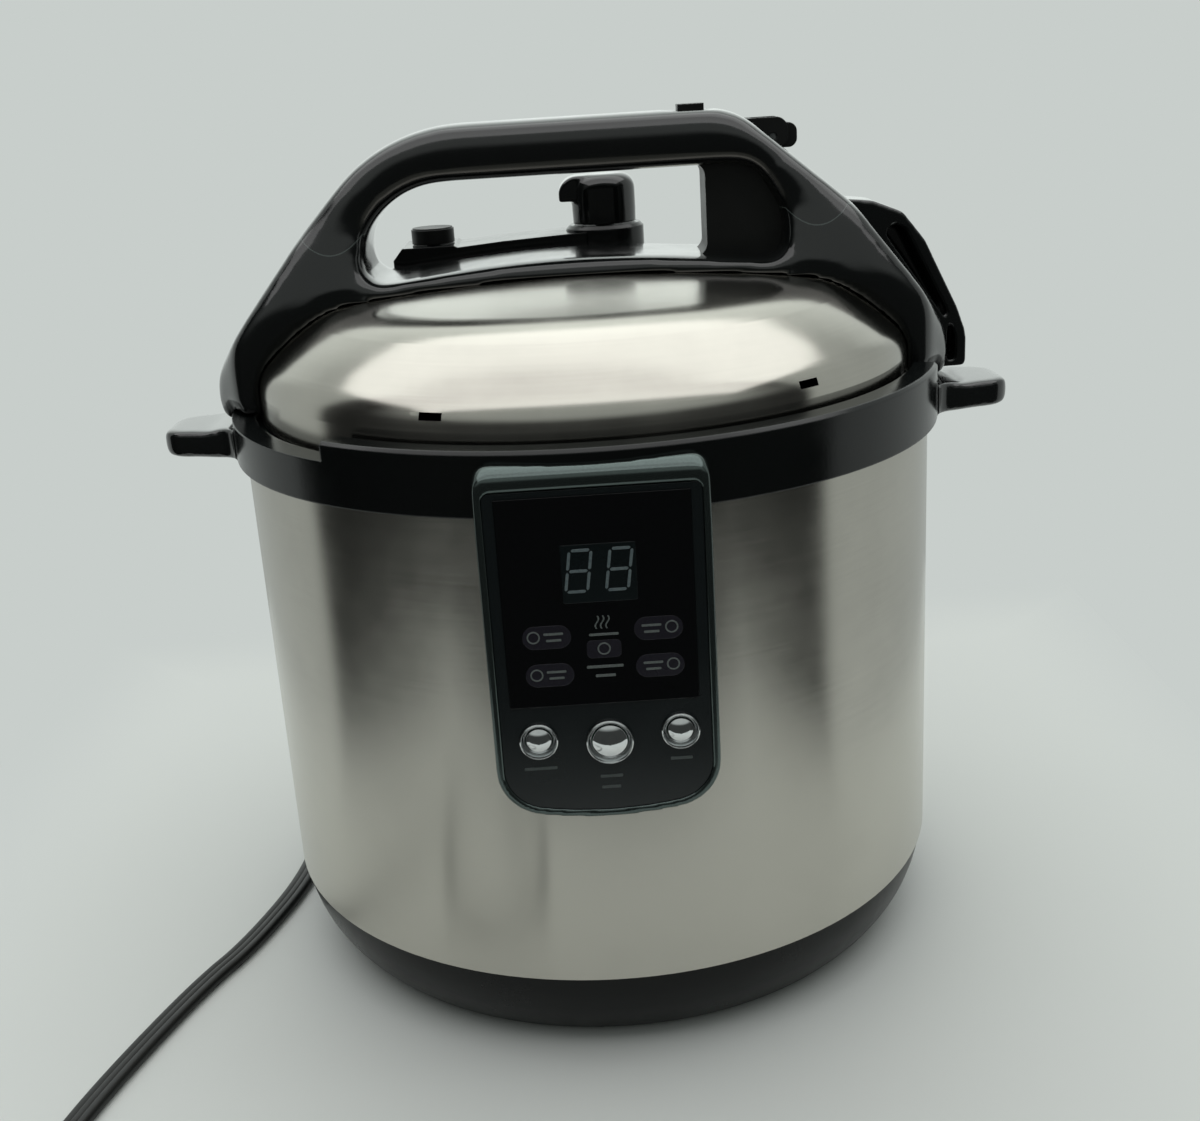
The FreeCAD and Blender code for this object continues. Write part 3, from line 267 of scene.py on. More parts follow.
class COOKER_OT_flat_cord(bpy.types.Operator):
    """Flat three-core cord from the strain relief, past the view and into its coil"""

    bl_idname = "cooker.flat_cord"
    bl_label = "Flat cord"

    def execute(self, context):
        route = list(CORD_ROUTE)
        for step in range(1, COIL_POINTS + 1):
            climb = unit((TURN_STEP * step - CLIMB_START) / CLIMB_SPAN)
            height = FLOOR_LEVEL + (CROSSING_LEVEL - FLOOR_LEVEL) * climb
            route.append(self.on_turn(COIL_TURN, step, height))
        for step in range(PLUG_POINTS):
            route.append(self.on_turn(PLUG_TURN, step, CROSSING_LEVEL))
        route.extend(CORD_END)
        line = bpy.data.curves.new("cord_route", "CURVE")
        line.dimensions = "3D"
        spline = line.splines.new("NURBS")
        spline.points.add(len(route) - 1)
        for point, place in zip(spline.points, route):
            point.co = (*place, 1.0)
        spline.order_u = 3
        spline.use_endpoint_u = True
        spline.resolution_u = 12
        guide = bpy.data.objects.new("cord_route", line)
        centres = [vertex.co.copy() for vertex in bpy.data.meshes.new_from_object(guide).vertices]
        bpy.data.objects.remove(guide)
        piece = self.tube(context, centres)
        plug = [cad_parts["plug_body"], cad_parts["plug_pins"]]
        sheath = flexible_pvc()
        dress("plug_body", sheath)
        settle(piece, "flat_cord", sheath, "base")
        # The coil lies where the shell would mirror it as a smudge, so it stays out of reflections.
        for part in (piece, *plug):
            part.visible_glossy = False
        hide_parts("power_cord", "cord_coil")
        return {"FINISHED"}

    def on_turn(self, turn, step, height):
        """Control point of a turn, counted from its left end."""
        across, along, radius = turn
        angle = math.radians(180 + TURN_STEP * step)
        reach = radius / SPLINE_SHARE
        return (across + reach * math.cos(angle), along + reach * math.sin(angle), height)

    def section(self):
        """Outline across the cord: three round cores side by side."""
        core = sizes().cord_thickness / 2
        pitch = sizes().cord_width / 2 - core
        groove = math.acos(pitch / 2 / core)
        spans = (
            (-pitch, groove, 2 * math.pi - groove, OUTER_POINTS),
            (0.0, math.pi + groove, 2 * math.pi - groove, MIDDLE_POINTS),
            (pitch, math.pi + groove, 3 * math.pi - groove, OUTER_POINTS),
            (0.0, groove, math.pi - groove, MIDDLE_POINTS),
        )
        points = []
        for middle, start, finish, count in spans:
            for step in range(count):
                turn = start + (finish - start) * step / (count - 1)
                points.append((middle + core * math.cos(turn), core * math.sin(turn)))
        return points

    def tube(self, context, centres):
        """Mesh that carries the section along the points of the route."""
        outline = self.section()
        count = len(outline)
        corners = []
        for index, centre in enumerate(centres):
            before = centres[max(index - 1, 0)]
            after = centres[min(index + 1, len(centres) - 1)]
            ahead = (after - before).normalized()
            side = ahead.cross(Vector((0, 0, 1))).normalized()
            lift = side.cross(ahead)
            corners.extend(centre + side * across + lift * up for across, up in outline)
        faces = []
        for ring in range(len(centres) - 1):
            for index in range(count):
                following = (index + 1) % count
                faces.append((ring * count + index, ring * count + following,
                              (ring + 1) * count + following, (ring + 1) * count + index))
        faces.append(tuple(range(count)))
        faces.append(tuple(reversed(range(len(corners) - count, len(corners)))))
        mesh = bpy.data.meshes.new("flat_cord")
        mesh.from_pydata(corners, [], faces)
        piece = bpy.data.objects.new("flat_cord", mesh)
        context.scene.collection.objects.link(piece)
        focus(piece)
        bpy.ops.object.mode_set(mode="EDIT")
        bpy.ops.mesh.select_all(action="SELECT")
        bpy.ops.mesh.remove_doubles(threshold=1e-6)
        bpy.ops.mesh.normals_make_consistent(inside=False)
        bpy.ops.object.mode_set(mode="OBJECT")
        bpy.ops.object.shade_smooth_by_angle(angle=math.radians(50))
        return piece


def node_tree(node):
    """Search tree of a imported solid's surface."""
    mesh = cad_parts[node].data
    corners = [corner.co for corner in mesh.vertices]
    return BVHTree.FromPolygons(corners, [face.vertices for face in mesh.polygons])


# A softened form keeps its shape this near to a neighbour, and is free when it is that much further away.
HELD = 0.001
EASED = 0.005


def softened(context, nodes, meets, cell, rounds, fullness):
    """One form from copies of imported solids, its edges rounded off except where it meets another piece."""
    copies = []
    for node in nodes:
        copy = bpy.data.objects.new(node + "_form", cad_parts[node].data.copy())
        context.scene.collection.objects.link(copy)
        focus(copy)
        bpy.ops.object.mode_set(mode="EDIT")
        bpy.ops.mesh.select_all(action="SELECT")
        bpy.ops.mesh.remove_doubles(threshold=1e-5)
        bpy.ops.object.mode_set(mode="OBJECT")
        copies.append(copy)
    piece = copies[0]
    focus(piece)
    for other in copies[1:]:
        whole = piece.modifiers.new("whole", "BOOLEAN")
        whole.operation = "UNION"
        whole.object = other
        bpy.ops.object.modifier_apply(modifier=whole.name)
        bpy.data.objects.remove(other)
    skin = piece.modifiers.new("skin", "REMESH")
    skin.mode = "VOXEL"
    skin.voxel_size = cell
    bpy.ops.object.modifier_apply(modifier=skin.name)
    free = piece.vertex_groups.new(name="free")
    trees = [node_tree(node) for node in meets]
    for vertex in piece.data.vertices:
        gap = min(tree.find_nearest(vertex.co)[3] for tree in trees)
        free.add([vertex.index], unit((gap - HELD) / EASED), "REPLACE")
    soft = piece.modifiers.new("soft", "SMOOTH")
    soft.iterations = rounds
    soft.factor = 0.5
    soft.vertex_group = "free"
    bpy.ops.object.modifier_apply(modifier=soft.name)
    # Smoothing draws the form in, and this lets it out again.
    full = piece.modifiers.new("full", "DISPLACE")
    full.mid_level = 0.0
    full.strength = fullness
    full.vertex_group = "free"
    bpy.ops.object.modifier_apply(modifier=full.name)
    piece.vertex_groups.clear()
    bpy.ops.object.shade_smooth()
    return piece


# Height of the joint between the handle's two halves.
SEAM_HEIGHT = 0.288


class COOKER_OT_carrying_handle(bpy.types.Operator):
    """Carrying handle: the saddle and the grip as one form with the soft edges of its moulding"""

    bl_idname = "cooker.carrying_handle"
    bl_label = "Carrying handle"

    def execute(self, context):
        nodes = ("handle_saddle", "handle_grip")
        meets = ("lid_dome", "release_tab", "release_bracket", "leg_fin", "top_collar")
        piece = softened(context, nodes, meets, cell=1.7 * MM, rounds=60, fullness=1.2 * MM)
        gloss = moulded_abs(
            "moulded_abs_handle", colours().black, 0.12, 0.26, 0.0008, seam=SEAM_HEIGHT, polish=0.6)
        settle(piece, "carrying_handle", gloss, "lid")
        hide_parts(*nodes)
        return {"FINISHED"}


# Top corners of the panel's opening and the rim round it, millimetres.
CORNER_ACROSS = 32.5
CORNER_UP = 217.0
CORNER_RADIUS = 2.4
RIM = 2.6
PANEL_FRONT = -145.0
# How far the rim's top edge rises at its front, how much more at the ledge's back, how deep the ledge is and
# over which height the rise fades out down the sides, millimetres.
LIP_RISE = 2.4
LIP_SLOPE = 2.8
LEDGE_DEPTH = 5.0
LIP_FADE = 12.0
# Rounds of smoothing that even the ledge.
LEDGE_ROUNDS = 12


def raise_lip(piece):
    """Lifts the outer edge of the panel surround's top into a ledge that slopes back to the collar."""
    ledge = piece.vertex_groups.new(name="ledge")
    for vertex in piece.data.vertices:
        across, depth, up = vertex.co / MM
        aside = max(abs(across) - CORNER_ACROSS, 0.0)
        above = max(up - CORNER_UP, 0.0)
        outwards = unit((math.hypot(aside, above) - CORNER_RADIUS) / RIM)
        share = outwards * unit((up - CORNER_UP + LIP_FADE) / LIP_FADE)
        back = unit((depth - PANEL_FRONT) / LEDGE_DEPTH)
        vertex.co.z += share * (LIP_RISE + LIP_SLOPE * back) * MM
        ledge.add([vertex.index], share, "REPLACE")
    even = piece.modifiers.new("even", "SMOOTH")
    even.iterations = LEDGE_ROUNDS
    even.vertex_group = "ledge"
    bpy.ops.object.modifier_apply(modifier=even.name)
    piece.vertex_groups.clear()


class COOKER_OT_soft_mouldings(bpy.types.Operator):
    """Side handles, leg fin, valve knob and panel surround with the soft edges of their mouldings"""

    bl_idname = "cooker.soft_mouldings"
    bl_label = "Soft mouldings"

    def execute(self, context):
        gloss = moulded_abs("moulded_abs_soft", colours().black, 0.1, 0.24, 0.0004, polish=0.6)
        # Dark from the front, and bright where its ledge turns up to the light.
        paint = speckled("metallic_paint", colours().bezel, linear("#5d6765"), 0.9, 0.12, 0.18, 0.0004, 0.03)
        panel = ("display_window", "button_plate", "outer_shell", "top_collar")
        # Name, solids, neighbours, body, cell in millimetres, smoothing rounds and fullness in millimetres.
        forms = (
            ("side_grips", ("side_handle_left", "side_handle_right"), ("top_collar",), "base", 0.8, 40, 0.3),
            ("side_fin", ("leg_fin",), ("handle_saddle", "top_collar"), "lid", 0.8, 16, 0.1),
            ("steam_knob", ("valve_knob",), ("valve_seat",), "valve_knob", 0.5, 36, 0.2),
            ("panel_surround", ("control_bezel",), panel, "base", 0.8, 24, 0.2),
        )
        for name, nodes, meets, body, cell, rounds, fullness in forms:
            piece = softened(context, nodes, meets, cell * MM, rounds, fullness * MM)
            finish, slot = gloss, "black_gloss"
            if name == "panel_surround":
                finish, slot = paint, "bezel_grey"
                raise_lip(piece)
            settle(piece, name, finish, body)
            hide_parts(*nodes)
        return {"FINISHED"}


def flexible_pvc():
    """Flexible PVC sheath: soft black with a dull sheen and a faintly uneven skin."""
    material, tree = new_finish("flexible_pvc")
    place = add_node(tree, "TexCoord").outputs["Object"]
    cloud = add_node(tree, "TexNoise", None, {"Vector": place, "Scale": 260.0, "Detail": 3.0})
    rough = add_node(tree, "MapRange", None, {"Value": cloud.outputs["Fac"], "To Min": 0.36, "To Max": 0.52})
    bump = add_node(tree, "Bump", None, {
        "Strength": 0.12, "Distance": 0.0002, "Height": cloud.outputs["Fac"]})
    shader = add_node(tree, "BsdfPrincipled", None, {
        "Base Color": linear("#0e100f"), "Roughness": rough.outputs["Result"],
        "Normal": bump.outputs["Normal"]})
    close_finish(tree, shader)
    return material


# The handle's joint is a shallow U on each leg, drawn as a paler line that is a painted highlight along the
# joint: how deep, how steep, how far its lowest point is from the middle, how far over the seam's height it
# may run, and half the line's width.
SEAM_DEPTH = 0.0055
SEAM_STEEPNESS = 48.0
SEAM_MIDDLE = 0.092
SEAM_OVER = 0.001
SEAM_HALF = 0.00025


def moulded_abs(name, base, smooth, dull, rounding, seam=None, polish=0.0, shine=0.5):
    """Moulded ABS: black, as glossy as its tool, with faint orange peel and handling smears; edges are
    painted paler, partly rubbed and partly a painted highlight, and a joint line may be painted pale as a
    highlight.
    """
    material, tree = new_finish(name)
    place = add_node(tree, "TexCoord").outputs["Object"]
    peel = add_node(tree, "TexNoise", None, {"Vector": place, "Scale": 700.0, "Detail": 2.0})
    smear = add_node(tree, "TexNoise", None, {
        "Vector": place, "Scale": 28.0, "Detail": 5.0, "Roughness": 0.65})
    rough = add_node(tree, "MapRange", None, {
        "Value": smear.outputs["Fac"], "From Min": 0.35, "From Max": 0.7, "To Min": smooth, "To Max": dull})
    edge = add_node(tree, "Bevel", {"samples": 6}, {"Radius": rounding})
    bump = add_node(tree, "Bump", None, {
        "Strength": 0.05, "Distance": 0.0003, "Height": peel.outputs["Fac"],
        "Normal": edge.outputs["Normal"]})
    flat = add_node(tree, "NewGeometry")
    turn = add_node(tree, "VectorMath", {"operation": "DOT_PRODUCT"}, {
        0: edge.outputs["Normal"], 1: flat.outputs["Normal"]})
    # Edges turn toward a paler grey in patches: partly rubbed, partly a painted highlight along every edge.
    edge_wear_and_highlight = add_node(tree, "MapRange", None, {
        "Value": turn.outputs["Value"], "From Min": 0.97, "From Max": 0.8, "To Min": 0.0, "To Max": 0.5})
    patchy_edge_wear_and_highlight = add_node(tree, "Math", {"operation": "MULTIPLY"}, {
        0: edge_wear_and_highlight.outputs["Result"], 1: smear.outputs["Fac"]})
    colour = add_node(tree, "Mix", {"data_type": "RGBA"}, {
        "Factor": patchy_edge_wear_and_highlight.outputs["Value"], "A": base, "B": linear("#3a403f")}).outputs[2]
    # The joint's line is painted a paler grey: a painted highlight along the groove's edge.
    if seam is not None:
        axes = add_node(tree, "SeparateXYZ", None, {"Vector": place})
        away = add_node(tree, "Math", {"operation": "ABSOLUTE"}, {0: axes.outputs["X"]})
        aside = add_node(tree, "Math", {"operation": "SUBTRACT"}, {0: away.outputs["Value"], 1: SEAM_MIDDLE})
        square = add_node(tree, "Math", {"operation": "MULTIPLY"}, {
            0: aside.outputs["Value"], 1: aside.outputs["Value"]})
        curve = add_node(tree, "Math", {"operation": "MULTIPLY_ADD"}, {
            0: square.outputs["Value"], 1: SEAM_STEEPNESS, 2: seam - SEAM_DEPTH})
        level = add_node(tree, "Math", {"operation": "MINIMUM"}, {
            0: curve.outputs["Value"], 1: seam + SEAM_OVER})
        gap = add_node(tree, "Math", {"operation": "COMPARE"}, {
            0: axes.outputs["Z"], 1: level.outputs["Value"], 2: SEAM_HALF})
        colour = add_node(tree, "Mix", {"data_type": "RGBA"}, {
            "Factor": gap.outputs["Value"], "A": colour, "B": linear("#4a5250")}).outputs[2]
    shader = add_node(tree, "BsdfPrincipled", None, {
        "Base Color": colour, "Roughness": rough.outputs["Result"], "Normal": bump.outputs["Normal"],
        "Specular IOR Level": shine, "Coat Weight": polish, "Coat Roughness": 0.08})
    close_finish(tree, shader)
    return material


def brushed_steel(name, base, low, high, stretch):
    """Stainless sheet brushed round the pot: fine level scratches spread each reflection up and down."""
    material, tree = new_finish(name)
    place = add_node(tree, "TexCoord").outputs["Object"]
    axes = add_node(tree, "SeparateXYZ", None, {"Vector": place})
    level = add_node(tree, "VectorMath", {"operation": "MULTIPLY"}, {0: place, 1: (1.0, 1.0, 0.0)})
    out = add_node(tree, "VectorMath", {"operation": "LENGTH"}, {0: level.outputs["Vector"]})
    slant = add_node(tree, "Math", {"operation": "SUBTRACT"}, {
        0: axes.outputs["Z"], 1: out.outputs["Value"]})
    around = add_node(tree, "CombineXYZ", None, {
        "X": axes.outputs["X"], "Y": axes.outputs["Y"], "Z": slant.outputs["Value"]})
    # Real scratches are about 0.05 mm apart; these are 0.7 mm apart so that they show, and 70 mm long.
    lines = add_node(tree, "VectorMath", {"operation": "MULTIPLY"}, {
        0: around.outputs["Vector"], 1: (14.0, 14.0, 1400.0)})
    brush = add_node(tree, "TexNoise", None, {
        "Vector": lines.outputs["Vector"], "Scale": 1.0, "Detail": 4.0, "Roughness": 0.6})
    smear = add_node(tree, "TexNoise", None, {
        "Vector": place, "Scale": 16.0, "Detail": 5.0, "Roughness": 0.6})
    nicks = add_node(tree, "TexVoronoi", None, {"Vector": place, "Scale": 34.0})
    nick = add_node(tree, "MapRange", None, {
        "Value": nicks.outputs["Distance"], "From Min": 0.03, "From Max": 0.05,
        "To Min": 1.0, "To Max": 0.0})
    rare = add_node(tree, "Math", {"operation": "GREATER_THAN"}, {0: smear.outputs["Fac"], 1: 0.58})
    dent = add_node(tree, "Math", {"operation": "MULTIPLY"}, {
        0: nick.outputs["Result"], 1: rare.outputs["Value"]})
    # The scratches show faintly; hands and cloths leave broader cloudy patches.
    mixed = add_node(tree, "Math", {"operation": "MULTIPLY_ADD"}, {
        0: brush.outputs["Fac"], 1: 0.25, 2: smear.outputs["Fac"]})
    tone = add_node(tree, "MapRange", None, {
        "Value": mixed.outputs["Value"], "From Min": 0.42, "From Max": 0.82, "To Min": 0.9, "To Max": 1.05})
    shade = add_node(tree, "Mix", {"data_type": "RGBA", "blend_type": "MULTIPLY"}, {
        "Factor": 1.0, "A": base, "B": tone.outputs["Result"]}).outputs[2]
    colour = add_node(tree, "Mix", {"data_type": "RGBA"}, {
        "Factor": dent.outputs["Value"], "A": shade, "B": linear("#3b3a34")}).outputs[2]
    rough = add_node(tree, "MapRange", None, {
        "Value": mixed.outputs["Value"], "From Min": 0.42, "From Max": 0.82, "To Min": low, "To Max": high})
    bump = add_node(tree, "Bump", None, {
        "Strength": 0.015, "Distance": 0.0001, "Height": brush.outputs["Fac"]})
    grain = add_node(tree, "Tangent", {"direction_type": "RADIAL", "axis": "Z"})
    shader = add_node(tree, "BsdfPrincipled", None, {
        "Base Color": colour, "Metallic": 1.0, "Roughness": rough.outputs["Result"], "Anisotropic": stretch,
        "Anisotropic Rotation": 0.25, "Tangent": grain.outputs["Tangent"], "Normal": bump.outputs["Normal"]})
    close_finish(tree, shader)
    return material


def speckled(name, base, fleck, metallic, low, high, grain, lift):
    """A plain finish with a fine grain: flecks and bump of the grain's size, and a slowly varying sheen."""
    material, tree = new_finish(name)
    place = add_node(tree, "TexCoord").outputs["Object"]
    noise = add_node(tree, "TexNoise", None, {"Vector": place, "Scale": 1.0 / grain, "Detail": 3.0})
    cloud = add_node(tree, "TexNoise", None, {"Vector": place, "Scale": 30.0, "Detail": 4.0})
    spread = add_node(tree, "MapRange", None, {
        "Value": noise.outputs["Fac"], "From Min": 0.35, "From Max": 0.65, "To Min": 0.0, "To Max": 1.0})
    colour = add_node(tree, "Mix", {"data_type": "RGBA"}, {
        "Factor": spread.outputs["Result"], "A": base, "B": fleck}).outputs[2]
    rough = add_node(tree, "MapRange", None, {
        "Value": cloud.outputs["Fac"], "From Min": 0.3, "From Max": 0.7, "To Min": low, "To Max": high})
    edge = add_node(tree, "Bevel", {"samples": 4}, {"Radius": 0.0003})
    bump = add_node(tree, "Bump", None, {
        "Strength": lift, "Distance": 0.0002, "Height": noise.outputs["Fac"],
        "Normal": edge.outputs["Normal"]})
    shader = add_node(tree, "BsdfPrincipled", None, {
        "Base Color": colour, "Metallic": metallic, "Roughness": rough.outputs["Result"],
        "Normal": bump.outputs["Normal"]})
    close_finish(tree, shader)
    return material


def clear_polycarbonate():
    """Clear polycarbonate: see-through with a faint grey tint and a soft gloss."""
    material, tree = new_finish("clear_polycarbonate")
    place = add_node(tree, "TexCoord").outputs["Object"]
    haze = add_node(tree, "TexNoise", None, {"Vector": place, "Scale": 60.0, "Detail": 3.0})
    rough = add_node(tree, "MapRange", None, {"Value": haze.outputs["Fac"], "To Min": 0.04, "To Max": 0.2})
    shader = add_node(tree, "BsdfPrincipled", None, {
        "Base Color": linear("#dfe5e6"), "Transmission Weight": 0.85, "IOR": 1.585,
        "Roughness": rough.outputs["Result"]})
    close_finish(tree, shader)
    return material


def silicone():
    """Cast silicone rubber: milky, with light passing a little way in."""
    material, tree = new_finish("silicone")
    place = add_node(tree, "TexCoord").outputs["Object"]
    cloud = add_node(tree, "TexNoise", None, {"Vector": place, "Scale": 45.0, "Detail": 3.0})
    colour = add_node(tree, "Mix", {"data_type": "RGBA"}, {
        "Factor": cloud.outputs["Fac"], "A": linear("#d5d3ca"), "B": linear("#e4e3dd")}).outputs[2]
    rough = add_node(tree, "MapRange", None, {"Value": cloud.outputs["Fac"], "To Min": 0.4, "To Max": 0.55})
    shader = add_node(tree, "BsdfPrincipled", None, {
        "Base Color": colour, "Roughness": rough.outputs["Result"], "Subsurface Weight": 0.3,
        "Subsurface Radius": (0.004, 0.0035, 0.003)})
    close_finish(tree, shader)
    return material


def circuit_board():
    """Glass-fibre board under green lacquer, with copper tracks 1.5 mm apart showing through."""
    material, tree = new_finish("circuit_board")
    place = add_node(tree, "TexCoord").outputs["Object"]
    tracks = add_node(tree, "TexBrick", None, {
        "Vector": place, "Scale": 330.0, "Color1": linear("#0f5a34"), "Color2": linear("#17713f"),
        "Mortar": linear("#0a3d24"), "Mortar Size": 0.06})
    shader = add_node(tree, "BsdfPrincipled", None, {
        "Base Color": tracks.outputs["Color"], "Roughness": 0.35})
    close_finish(tree, shader)
    return material


class COOKER_OT_finishes(bpy.types.Operator):
    """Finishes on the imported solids"""

    bl_idname = "cooker.finishes"
    bl_label = "Finishes"

    def execute(self, context):
        tint = colours()
        gloss = moulded_abs("moulded_abs_gloss", tint.black, 0.1, 0.24, 0.0008)
        # The base pan is given a deeper black and a weaker sheen: painted shade for the shadow it sits in by
        # the floor.
        shaded_base_black = moulded_abs("moulded_abs_eroded", linear("#090b0b"), 0.26, 0.38, 0.0008, shine=0.25)
        satin = moulded_abs("moulded_abs_satin", linear("#121413"), 0.36, 0.5, 0.0006)
        shell = brushed_steel("brushed_shell", tint.steel, 0.17, 0.26, 0.9)
        dome = brushed_steel("brushed_dome", tint.steel, 0.13, 0.22, 0.7)
        pressed = brushed_steel("pressed_sheet", linear("#b9babb"), 0.26, 0.4, 0.3)
        # Colour, fleck, metal, least and most roughness, grain in metres and bump. Film and acrylic are
        # smooth, chrome is bright, zinc and brass shine softly, the casting is coarse and the rubber dull.
        slate = speckled("slate_film", tint.slate, linear("#1a2122"), 0.0, 0.2, 0.28, 0.0005, 0.04)
        smoked = speckled(
            "smoked_acrylic", linear("#040507"), linear("#07080b"), 0.0, 0.05, 0.12, 0.0008, 0.01)
        chrome = speckled("chrome_plate", linear("#dfe2e3"), linear("#e6e8e8"), 1.0, 0.04, 0.1, 0.002, 0.01)
        zinc = speckled("zinc_plate", linear("#a9adae"), linear("#b8bbbb"), 1.0, 0.3, 0.42, 0.001, 0.08)
        brass = speckled(
            "nickelled_brass", linear("#cdbf97"), linear("#d8cdab"), 1.0, 0.2, 0.32, 0.001, 0.05)
        cast = speckled(
            "cast_aluminium", linear("#a5a6a5"), linear("#b9bab8"), 1.0, 0.42, 0.58, 0.0015, 0.35)
        rubber = speckled("moulded_rubber", linear("#131413"), linear("#1a1b1a"), 0.0, 0.6, 0.8, 0.0006, 0.2)
        board = circuit_board()
        seal = silicone()
        clear = clear_polycarbonate()
        coats = {
            gloss: ("top_collar", "valve_plate", "valve_seat"),
            shaded_base_black: ("base_pan",),
            satin: ("led_display", "cup_holder", "lock_housing", "float_valve", "release_tab",
                    "release_bracket", "release_lever"),
            shell: ("outer_shell",),
            dome: ("lid_dome",),
            pressed: ("lock_ring", "inner_liner", "inner_pot", "sensor_bracket", "inner_lid_plate",
                      "lid_pan", "valve_pipe"),
            slate: ("button_plate",),
            smoked: ("display_window",),
            chrome: ("button_rings", "left_button", "centre_button", "right_button"),
            zinc: ("base_screws", "post_nut", "handle_screws", "lever_pin"),
            brass: ("plug_pins",),
            cast: ("heating_plate", "temperature_sensor"),
            rubber: ("rubber_feet", "strain_relief"),
            board: ("display_board", "power_board"),
            seal: ("sealing_ring", "centre_grommet"),
            clear: ("condensation_cup",),
        }
        for coat, nodes in coats.items():
            for node in nodes:
                dress(node, coat)
        return {"FINISHED"}


# The panel's marks are in millimetres across and up.
# Lamp fields: the middle of each and the side that its lamp is on.
PILLS = ((-17.4, 170.4, -1), (-17.2, 157.2, -1), (18.8, 171.4, 1), (18.8, 158.4, 1))
# Width, height, corner radius and its steps of a lamp field and of the pot sign.
PILL_FORM = (15.8, 8.0, 3.9, 8)
POT_FORM = (11.2, 6.2, 1.6, 5)
# The pot sign's middle, the middle of its ring, and its lid's middle and length.
POT_PLACE = (0.9, 165.3)
POT_RING = (0.9, 165.4)
POT_LID = (1.1, 170.4, 9.6)
# A ring's radius and line, and its place from the middle of a lamp field.
RING_FORM = (1.9, 0.28)
RING_ASIDE = 4.3
RING_UP = 0.2
# Height, corner radius and its steps of the bars on the fields, under the sign and under the buttons.
BAR_FORM = (0.8, 0.3, 3)
TITLE_FORM = (0.9, 0.3, 3)
LABEL_FORM = (1.1, 0.35, 3)
# Bars on a lamp field: how far aside, and how far up and how long each is.
BARS_ASIDE = 2.2
FIELD_BARS = ((1.1, 6.4), (-1.1, 5.0))
# Bars under the pot sign and bars under the buttons: the middle of each and how long it is.
TITLE_BARS = ((0.9, 159.2, 12.0), (0.9, 156.0, 6.6))
LABEL_BARS = ((-22.6, 123.7, 11.0), (0.8, 119.4, 7.6), (0.5, 115.4, 6.4), (24.4, 124.4, 7.4))
# Steam lines over the pot sign: middle of each, how far up, and width, height, corner radius and its steps.
STEAM_ACROSS = (-0.9, 0.8, 2.5)
STEAM_UP = 174.6
STEAM_HEIGHT = 4.4
STEAM_FORM = (0.5, STEAM_HEIGHT, 0.12, 2)
# Cuts along a steam line, how far it waves to each side, and how far it leans over its height.
STEAM_CUTS = 9
STEAM_WAVE = 0.45
STEAM_LEAN = 0.5
# Marks over a field stand this far in front of it, and the button plate this far behind the window, metres.
OVERPRINT = 0.0001
PLATE_SET_BACK = 0.0004


class COOKER_OT_lamp_fields(bpy.types.Operator):
    """Tinted fields behind the lamps and the pot sign"""

    bl_idname = "cooker.lamp_fields"
    bl_label = "Lamp fields"

    def execute(self, context):
        parts = [flat_mark(across, up, *PILL_FORM) for across, up, _ in PILLS]
        parts.append(flat_mark(*POT_PLACE, *POT_FORM))
        tint = speckled("tinted_ink", colours().pill, linear("#2a2831"), 0.0, 0.18, 0.3, 0.0006, 0.02)
        settle(joined(parts), "lamp_fields", tint, "base")
        return {"FINISHED"}


class COOKER_OT_panel_marks(bpy.types.Operator):
    """Lamp rings, the pot sign's lid and steam, and short bars beside the lamps and under the sign"""

    bl_idname = "cooker.panel_marks"
    bl_label = "Panel marks"

    def execute(self, context):
        parts = []
        for across, up, side in PILLS:
            parts.append(ring_mark(across + RING_ASIDE * side, up + RING_UP, *RING_FORM))
        parts.append(ring_mark(*POT_RING, *RING_FORM))
        parts.append(flat_mark(*POT_LID, *BAR_FORM))
        for across, up, side in PILLS:
            for line, width in FIELD_BARS:
                parts.append(flat_mark(across - BARS_ASIDE * side, up + line, width, *BAR_FORM))
        parts.extend(flat_mark(*bar, *TITLE_FORM) for bar in TITLE_BARS)
        parts.extend(self.steam(across) for across in STEAM_ACROSS)
        piece = joined(parts)
        for vertex in piece.data.vertices:
            vertex.co.y -= OVERPRINT
        ink = speckled("pale_ink", colours().mark, linear("#7b8280"), 0.0, 0.4, 0.55, 0.0005, 0.02)
        settle(piece, "panel_marks", ink, "base")
        return {"FINISHED"}

    def steam(self, across):
        """One wavy line rising from the pot sign."""
        piece = flat_mark(across, STEAM_UP, *STEAM_FORM)
        bpy.ops.object.mode_set(mode="EDIT")
        bpy.ops.mesh.select_all(action="SELECT")
        bpy.ops.mesh.subdivide(number_cuts=STEAM_CUTS)
        bpy.ops.object.mode_set(mode="OBJECT")
        for vertex in piece.data.vertices:
            rise = (vertex.co.z / MM - STEAM_UP) / STEAM_HEIGHT
            vertex.co.x += (STEAM_WAVE * math.sin(2 * math.pi * rise) + STEAM_LEAN * rise) * MM
        return piece


class COOKER_OT_button_labels(bpy.types.Operator):
    """Short printed bars under the buttons"""

    bl_idname = "cooker.button_labels"
    bl_label = "Button labels"

    def execute(self, context):
        piece = joined([flat_mark(*bar, *LABEL_FORM) for bar in LABEL_BARS])
        for vertex in piece.data.vertices:
            vertex.co.y += PLATE_SET_BACK
        ink = speckled("faint_ink", linear("#4d5453"), linear("#565d5c"), 0.0, 0.4, 0.55, 0.0005, 0.02)
        settle(piece, "button_labels", ink, "base")
        return {"FINISHED"}


# Strokes of a seven-stroke figure: middle across and up in steps, and whether it stands.
STROKES = (
    (0, 2, False), (-1, 1, True), (1, 1, True), (0, 0, False), (-1, -1, True), (1, -1, True), (0, -2, False),
)
# Middles of the two figures across, how far up they are, and the steps between their strokes.
FIGURES = (-5.7, 7.3)
FIGURE_UP = 192.4
STROKE_ACROSS = 3.5
STROKE_UP = 3.45
